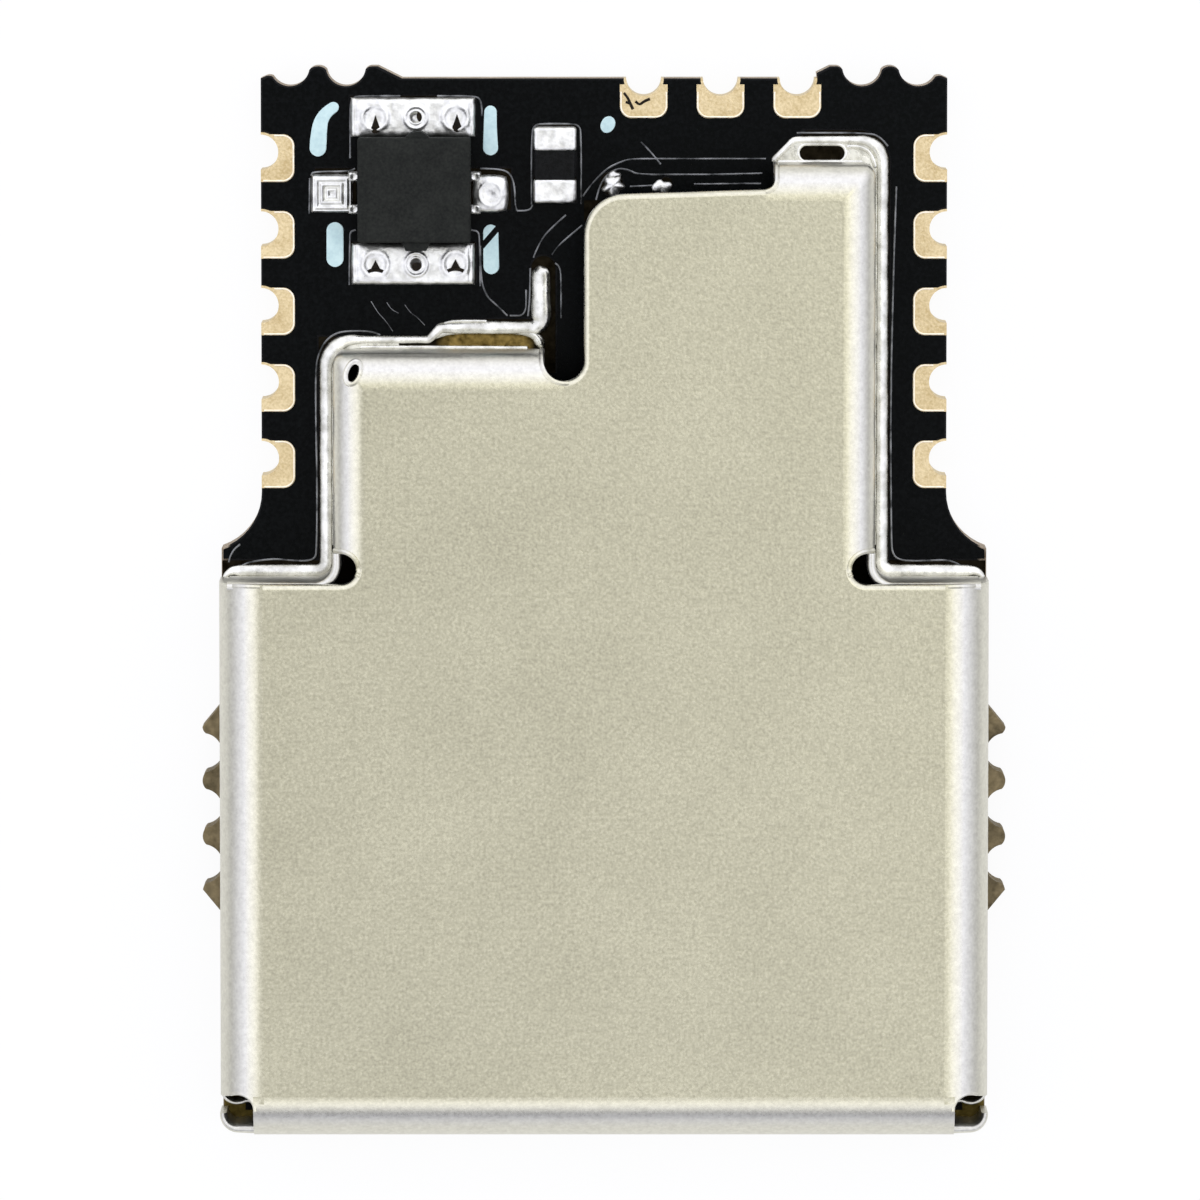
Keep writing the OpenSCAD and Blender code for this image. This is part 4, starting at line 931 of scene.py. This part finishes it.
# %% Filter side terminals
def stepped(u, v):
    """A low pyramid of nested squares: the height grows in from the rim, with a ripple on it."""
    inset = 1 - np.maximum(np.abs(u), np.abs(v))
    slope, pit = (np.clip(far / 0.1, 0, 1) for far in (inset, inset - 0.6))
    return 0.02 + 0.11 * slope**0.7 + 0.014 * np.cos(2 * np.pi * inset / 0.27) - 0.03 * pit


def domed(u, v):
    """A soft cushion with a ring and a dent: it falls with the eighth power towards each edge."""
    far = np.hypot(u, v)
    marks = 0.1 * hump(far - 0.62, 0.1) - 0.25 * hump(far, 0.25)
    return 0.02 + 0.12 * np.sqrt((1 - u**8) * (1 - v**8)) * (1 + marks)


sides = [pillow((-4.505, 6.79), (0.69, 0.64), stepped, 0.03, 60),
         pillow((-1.88, 6.785), (0.6, 0.63), domed, 0.45, 60)]
sides += [pillow((x, y), (0.2, 0.17), domed, 0.3, 20) for x in (-4.14, -2.13) for y in (7.07, 6.53)]
add_piece("filter_sides", sides, "solder", "filter_side_terminals", tin)

# %% [markdown]
# Dark marks lie in the bright dimples: a keyhole in the upper ones, a small peak over an arc
# in the lower ones, and a round spot in each middle hole. They are painted reflections of dark
# surroundings in the shiny solder, and each is a thin dark flake.

# %% Painted reflections in the dimples
key = 1.4 * np.concatenate([arc((0.0, -0.05), 0.055, -220.0, 40.0, 19), [[0.0, 0.11]]])
peak = 1.5 * np.array([[-0.05, -0.01], [0.05, -0.01], [0.0, 0.085]])
bow = 1.15 * np.concatenate([arc((0.0, -0.28), r, *span, 13)
                             for r, span in ((0.205, (140.0, 40.0)), (0.255, (50.0, 130.0)))])
spot = arc((0.0, 0.0), 0.075, 0.0, 345.0, 24)
painted_reflections = [(key, (-3.777, 7.93)), (key, (-2.43, 7.955)), (spot * [0.75, 1.3], (-3.04, 8.075)),
          (peak, (-3.782, 5.56)), (bow, (-3.782, 5.585)), (peak, (-2.458, 5.575)),
          (bow, (-2.458, 5.6)), (spot, (-3.1, 5.58))]
# Each painted reflection is a thin dark slab over the terminal.
marks = [slab(shape + np.array(place), 0.84, 0.955) for shape, place in painted_reflections]
add_piece("painted_reflection_marks", marks, "solder", finish=dark_reflection_and_scratch)

# %% [markdown]
# ## The small chip
# A chip resistor is a glazed ceramic slab with a tinned cap wrapped round each end. The caps
# stand a hair prouder than the glaze, and solder has softened their edges.

# %% Chip
CHIP = np.array([-0.81, 7.27])
glaze = block(CHIP, (0.66, 0.62), 1.13, 0.03, 0.02)
caps = [block(CHIP + [0.0, s * 0.43], (0.71, 0.40), 1.15, 0.06, 0.06) for s in (-1, 1)]
add_piece("chip_slab", [glaze], "chip_glaze", "chip_resistor_body")
add_piece("chip_caps", caps, "tin_plate", "chip_resistor_caps")

# %% [markdown]
# ## Printed marks
# The ink was pushed through a screen, so a mark is a flat ribbon with round ends. A ribbon is a
# low section carried along a smooth line, and its width follows the stroke. One stroke was
# printed over a ridge and broke there.

# %% Printed marks
def stroke(points, widths):
    """A flat ribbon along a smooth line: half widths from start to end, drawn in to round ends."""
    spine, outward = trail(points, 4)
    along = walked(spine)
    half = np.interp(along / along[-1], np.linspace(0, 1, len(widths)), widths)
    section = np.array([[1, -1], [1, 0.5], [0.9, 1], [-0.9, 1], [-1, 0.5], [-1, -1]])
    return carry(section, spine, outward, BOARD, half * tapered(along, half, 0.03), lift=0.012)


STROKES = [
    ([(-4.74, 7.4), (-4.73, 7.62), (-4.71, 7.86), (-4.67, 8.02), (-4.57, 8.15), (-4.4, 8.26)],
     [0.135, 0.138, 0.125, 0.1, 0.085]),
    ([(-1.875, 8.24), (-1.883, 7.9), (-1.875, 7.42)], [0.1, 0.11, 0.13]),
    ([(-4.454, 6.31), (-4.455, 5.57)], [0.14, 0.14]),
    ([(0.135, 8.05), (0.065, 7.93), (-0.0, 7.8)], [0.1, 0.115, 0.1]),
]
broken = stroke([(-1.877, 6.27), (-1.865, 5.45)], [0.125, 0.13])
start, end = np.array([(-2.12, 5.798), (-1.689, 6.292)])
across = np.array([0.036, -0.0315])
gap = slab([start - across, start + across, end + across, end - across], 0.5, 1.0)
strokes = [stroke(*row) for row in STROKES]
halves = punched(broken, [gap], "broken_stroke")
add_piece("print_marks", strokes, "print_ink", "silkscreen_marks", others=[halves])

# %% [markdown]
# ## Ridges in the mask
# Where the mask ends round a land, or climbs over a copper track, it leaves a thin ridge
# that catches the light. The ridges, and a few scuffs, are painted grey with a metal sheen on
# the black varnish: a painted highlight. A ridge is a hair-thin round section carried along a
# smooth line.
# The gold lands have such a ridge too, just inside their edge, painted pale gold: a painted
# highlight. Dark scratches cross the first land of the top row.

# %% Mask ridges
def hair(path, width):
    """A ridge of the given width, half as high, lying on the mask."""
    turn = np.linspace(0.0, np.pi, 7)
    section = np.stack([width / 2 * np.cos(turn), width * 0.45 * np.sin(turn) - 0.004], -1)
    return carry(section, *path, BOARD, waver(walked(path[0]), width * 90, 0.12))


LINES = [
    [(-6.23, 0.45), (-6.09, 0.56), (-5.95, 0.64), (-5.8, 0.68), (-5.47, 0.72), (-5.2, 0.69),
     (-4.92, 0.68), (-4.8, 0.73), (-4.77, 0.85), (-4.76, 2.03), (-4.78, 3.03), (-4.78, 3.86),
     (-4.74, 4.11), (-4.61, 4.36), (-4.41, 4.49), (-4.13, 4.51), (-3.85, 4.5), (-3.71, 4.44)],
    [(3.19, 7.79), (4.4, 7.79), (4.57, 7.72), (4.7, 7.57)],
    [(4.84, 6.9), (4.8, 5.68), (4.75, 3.36), (4.77, 1.03), (4.79, 0.81), (4.88, 0.71),
     (5.08, 0.68), (5.41, 0.69), (5.68, 0.7), (5.83, 0.66), (5.96, 0.58)],
    [(-6.04, 0.96), (-6.14, 0.88), (-6.21, 0.76), (-6.23, 0.66)],
    [(-2.05, 5.92), (-2.04, 5.52), (-2.02, 5.29), (-1.94, 5.08), (-1.82, 4.97), (-1.72, 4.88),
     (-1.6, 4.76)],
    [(-1.22, 5.55), (-1.23, 5.02), (-1.26, 4.75)], [(-1.29, 5.19), (-1.29, 4.76), (-1.56, 4.76)],
    [(-0.81, 5.63), (-0.74, 5.58), (-0.71, 5.45), (-0.71, 4.72)],
    [(-1.17, 5.72), (-1.13, 5.82), (-1.06, 5.97), (-0.97, 6.11), (-0.82, 6.26), (-0.63, 6.43)],
    [(-0.86, 5.77), (-0.75, 5.93), (-0.55, 6.1), (-0.36, 6.26)],
    [(-0.35, 6.74), (-0.23, 6.91), (-0.07, 7.09), (0.08, 7.22), (0.26, 7.3), (0.43, 7.36),
     (0.93, 7.36), (1.59, 7.36), (2.68, 7.36)],
    [(-0.13, 6.68), (-0.07, 6.91), (0.03, 7.08), (0.23, 7.21), (0.43, 7.17), (0.55, 7.1),
     (1.26, 7.1), (1.92, 7.1), (2.62, 7.12)],
    [(0.43, 6.9), (0.84, 6.92)], [(1.49, 6.94), (2.6, 6.95)],
    [(0.61, 7.64), (0.73, 7.52), (0.86, 7.37), (0.94, 7.27)],
    [(-1.2, 6.61), (-1.2, 7.8), (-1.14, 7.92), (-1.04, 7.94), (-0.51, 7.94), (-0.41, 7.9),
     (-0.38, 7.8), (-0.38, 6.61)],
    [(-1.18, 6.6), (-1.21, 6.53), (-1.29, 6.5), (-1.44, 6.5)],
    [(-4.2, 7.37), (-4.2, 8.27), (-4.15, 8.37), (-4.07, 8.4), (-3.37, 8.4)],
    [(-2.76, 8.4), (-2.12, 8.4), (-2.04, 8.33), (-2.02, 8.2), (-2.02, 8.07)],
    [(-4.85, 7.08), (-4.82, 7.15), (-4.22, 7.15), (-4.12, 7.2)], [(-4.87, 7.04), (-4.88, 6.45)],
    [(-2.05, 7.2), (-1.72, 7.19), (-1.56, 7.13), (-1.48, 6.94), (-1.47, 6.6), (-1.44, 6.5)],
    [(-4.11, 6.18), (-4.2, 6.16), (-4.21, 6.02), (-4.22, 5.27)],
    [(-2.2, 6.18), (-2.08, 6.16), (-2.06, 6.02), (-2.05, 5.25)],
]
SCUFFS = [
    [(-3.86, 5.0), (-3.74, 4.8), (-3.62, 4.68), (-3.5, 4.5)],
    [(-3.3, 4.94), (-3.2, 4.8), (-3.1, 4.74), (-2.97, 4.6)],
    [(-3.6, 4.98), (-3.52, 4.86), (-3.4, 4.8)],
]
ridges = [hair(trail(points), width)
          for lines, width in ((LINES, 0.032), (SCUFFS, 0.015)) for points in lines]
# The ridges take the grey finish: a painted highlight.
add_piece("mask_ridges", ridges, "solder_mask", finish=ridge_and_scuff_glint)


# %% Rims of the gold lands
PADS = 5.68  # the rows of side lands stand this far from the middle


def land_rim(x, y, first, last):
    """The ridge of a left-hand land, from (x, y) round its three inner sides; first and last are
    the lengths of its two straight arms."""
    bend = (-90.0, 0.18)
    return hair(route((x, y), 0.0, [first, bend, 0.39, bend, last]), 0.04)


def turned(skin, x, y):
    """A left-hand land's skin turned to the top edge, so that its depth runs down from (x, y)."""
    points = skin[0] - [-PADS, 0.0, 0.0]
    return np.stack([x + points[:, 1], y - 0.1 - points[:, 0], points[:, 2]], -1), skin[1]


SCRATCHES = [
    [(0.33, 8.45), (0.4, 8.36), (0.43, 8.28), (0.48, 8.18)], [(0.36, 8.3), (0.44, 8.27)],
    [(0.52, 8.31), (0.59, 8.25), (0.66, 8.31), (0.76, 8.35)],
]
rims = [mirrored(land_rim(-PADS + 0.22, y + 0.275, 0.14, 0.32), s)
        for y in (7.47, 6.2, 4.93, 3.66, 2.39) for s in (1, -1)]
rims += [turned(land_rim(-5.56, 0.375, 0.24, 0.24), x, 8.69) for x in (3.197, 1.927, 0.657)]
scratches = [hair(trail(points), 0.05) for points in SCRATCHES]
# The land rims take the pale gold: a painted highlight along the lands' edges.
add_piece("land_rims", rims, "gold_plating", finish=pale_glint)
add_piece("land_scratches", scratches, "gold_plating", finish=dark_reflection_and_scratch)

# %% [markdown]
# ## Floor, light and camera
# Small parts are shot in a white tent. Most light comes from a broad ring some thirty degrees
# off the zenith, less from straight above, where the lens looks in, and least from the gap
# between ring and table on the near side. That is what draws a bright and a dark line along
# each fold. A lamp behind the cloth makes a soft spot above, to the right. The floor is
# a pale sheet that keeps the module's soft shadow, and what the folds mirror is white close by
# and grey farther off on both sides.

# %% Floor and light
WHITE = (1.0, 1.0, 1.0)
corners = 900.0 * np.array([[-1, -1], [1, -1], [1, 1], [-1, 1]])
floor_mesh = skin_mesh("floor", [(np.column_stack([corners, np.full(4, -0.02)]), [[0, 1, 2, 3]])])
floor_mesh.transform(Matrix.Scale(MM, 4))
floor = bpy.data.objects.new("floor", floor_mesh)
bpy.context.scene.collection.objects.link(floor)
sheet = Finish("floor_sheet", Roughness=0.9, Specular_IOR_Level=0.1)
sheet.put(Base_Color=sheet.noise(40.0).mix((0.90, 0.90, 0.90), (0.93, 0.93, 0.93)))
camera, through, glossy = (sheet.add("LightPath", output=f"Is {kind} Ray")
                           for kind in ("Camera", "Transmission", "Glossy"))
card = abs(sheet.along("X")).spread(11.0, 20.0).mix(WHITE, (0.5, 0.5, 0.5))
glow = sheet.add("Emission", {}, {"Color": glossy.mix(WHITE, card), "Strength": 1.0})
seen = (camera + through) * 0.93 + glossy
plain = Shade(sheet.tree, sheet.shader.outputs[0])
blend = sheet.add("MixShader", {}, {0: seen, 1: plain, 2: glow})
sheet.tree.links.new(blend.socket, sheet.tree.nodes["Material Output"].inputs["Surface"])
floor_mesh.materials.append(sheet.material)
floor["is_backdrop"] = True

tent = bpy.data.worlds.new("tent")
tent.use_nodes = True
bpy.context.scene.world = tent
air = Shade(tent.node_tree)
way = air.add("TexCoord", output="Generated")
up, away = (air.add("SeparateXYZ", {}, {0: way}, axis) for axis in "ZY")
bearing = air.math("DIVIDE", away, (1.0 - up * up).spread(0.0, 1.0, 0.0001, 1.0) ** 0.5)


def wall_of_tent(*levels):
    """Brightness against the angle from the zenith in degrees, as a ramp over the direction's
    height. Every wall starts alike at the zenith, and the ring is a little bluer."""
    levels = [(0, 0.41), (9, 0.49), *levels]
    cool = np.interp([a for a, _ in levels], [9, 22, 70, 90], [0.0, 1.0, 1.0, 0.3])
    stops = [((np.cos(np.radians(a)) + 1) / 2, (v * (1 - 0.015 * k), v, v * (1 + 0.16 * k)))
             for (a, v), k in zip(levels, cool)][::-1]
    return air.add("ValToRGB", {"stops": stops}, {0: up.spread(-1.0, 1.0)})


beside = wall_of_tent((16, 1.0), (24, 1.5), (40, 1.5), (60, 1.14), (75, 0.98), (88, 0.66),
                      (180, 0.6))
near = wall_of_tent((15, 1.0), (21, 1.45), (32, 1.42), (42, 0.95), (52, 0.42), (60, 0.42),
                    (68, 0.78), (80, 1.0), (180, 0.7))
far = wall_of_tent((15, 1.0), (22, 1.45), (60, 1.45), (85, 1.35), (95, 0.8), (180, 0.6))
sky = bearing.spread(0.3, 0.8).mix(bearing.spread(-0.3, -0.8).mix(beside, near), far)
keys = {0: way, 1: (0.18, 0.12, 0.976)}
lamp = air.add("VectorMath", {"operation": "DOT_PRODUCT"}, keys, "Value")
rim_of_lamp = [float(np.cos(np.radians(a))) for a in (15.0, 5.0)]
sky = lamp.spread(*rim_of_lamp, 0.0, 0.9).mix(sky, (1.85, 1.85, 1.85))
tent.node_tree.links.new(sky.socket, tent.node_tree.nodes["Background"].inputs["Color"])
print("tent walls: beside, near and far")

# %% Camera
TILT, REACH, LENS, SENSOR = np.radians(5.0), 170.0, 307.0, 36.0
aim = np.array([-0.066, 0.03, 0.8])
lens = bpy.data.cameras.new("camera")
lens.lens, lens.sensor_width = LENS, SENSOR
lens.clip_start, lens.clip_end = 0.01, 10.0
stand = bpy.data.objects.new("camera", lens)
bpy.context.scene.collection.objects.link(stand)
stand.location = MM * (aim + REACH * np.array([0.0, np.sin(TILT), np.cos(TILT)]))
stand.rotation_euler = (-TILT, 0.0, 0.0)
bpy.context.scene.camera = stand
bpy.context.scene.view_settings.view_transform = "Standard"
print("frame width in mm:", round(SENSOR * REACH / LENS, 2))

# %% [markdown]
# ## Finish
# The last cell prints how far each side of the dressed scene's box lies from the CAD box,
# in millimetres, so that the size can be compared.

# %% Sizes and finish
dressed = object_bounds()
growth = [b - a for p, q in zip(cad_box, dressed) for a, b in zip(p, q)]
print("box grows by mm:", [round(1000 * g, 3) for g in growth])
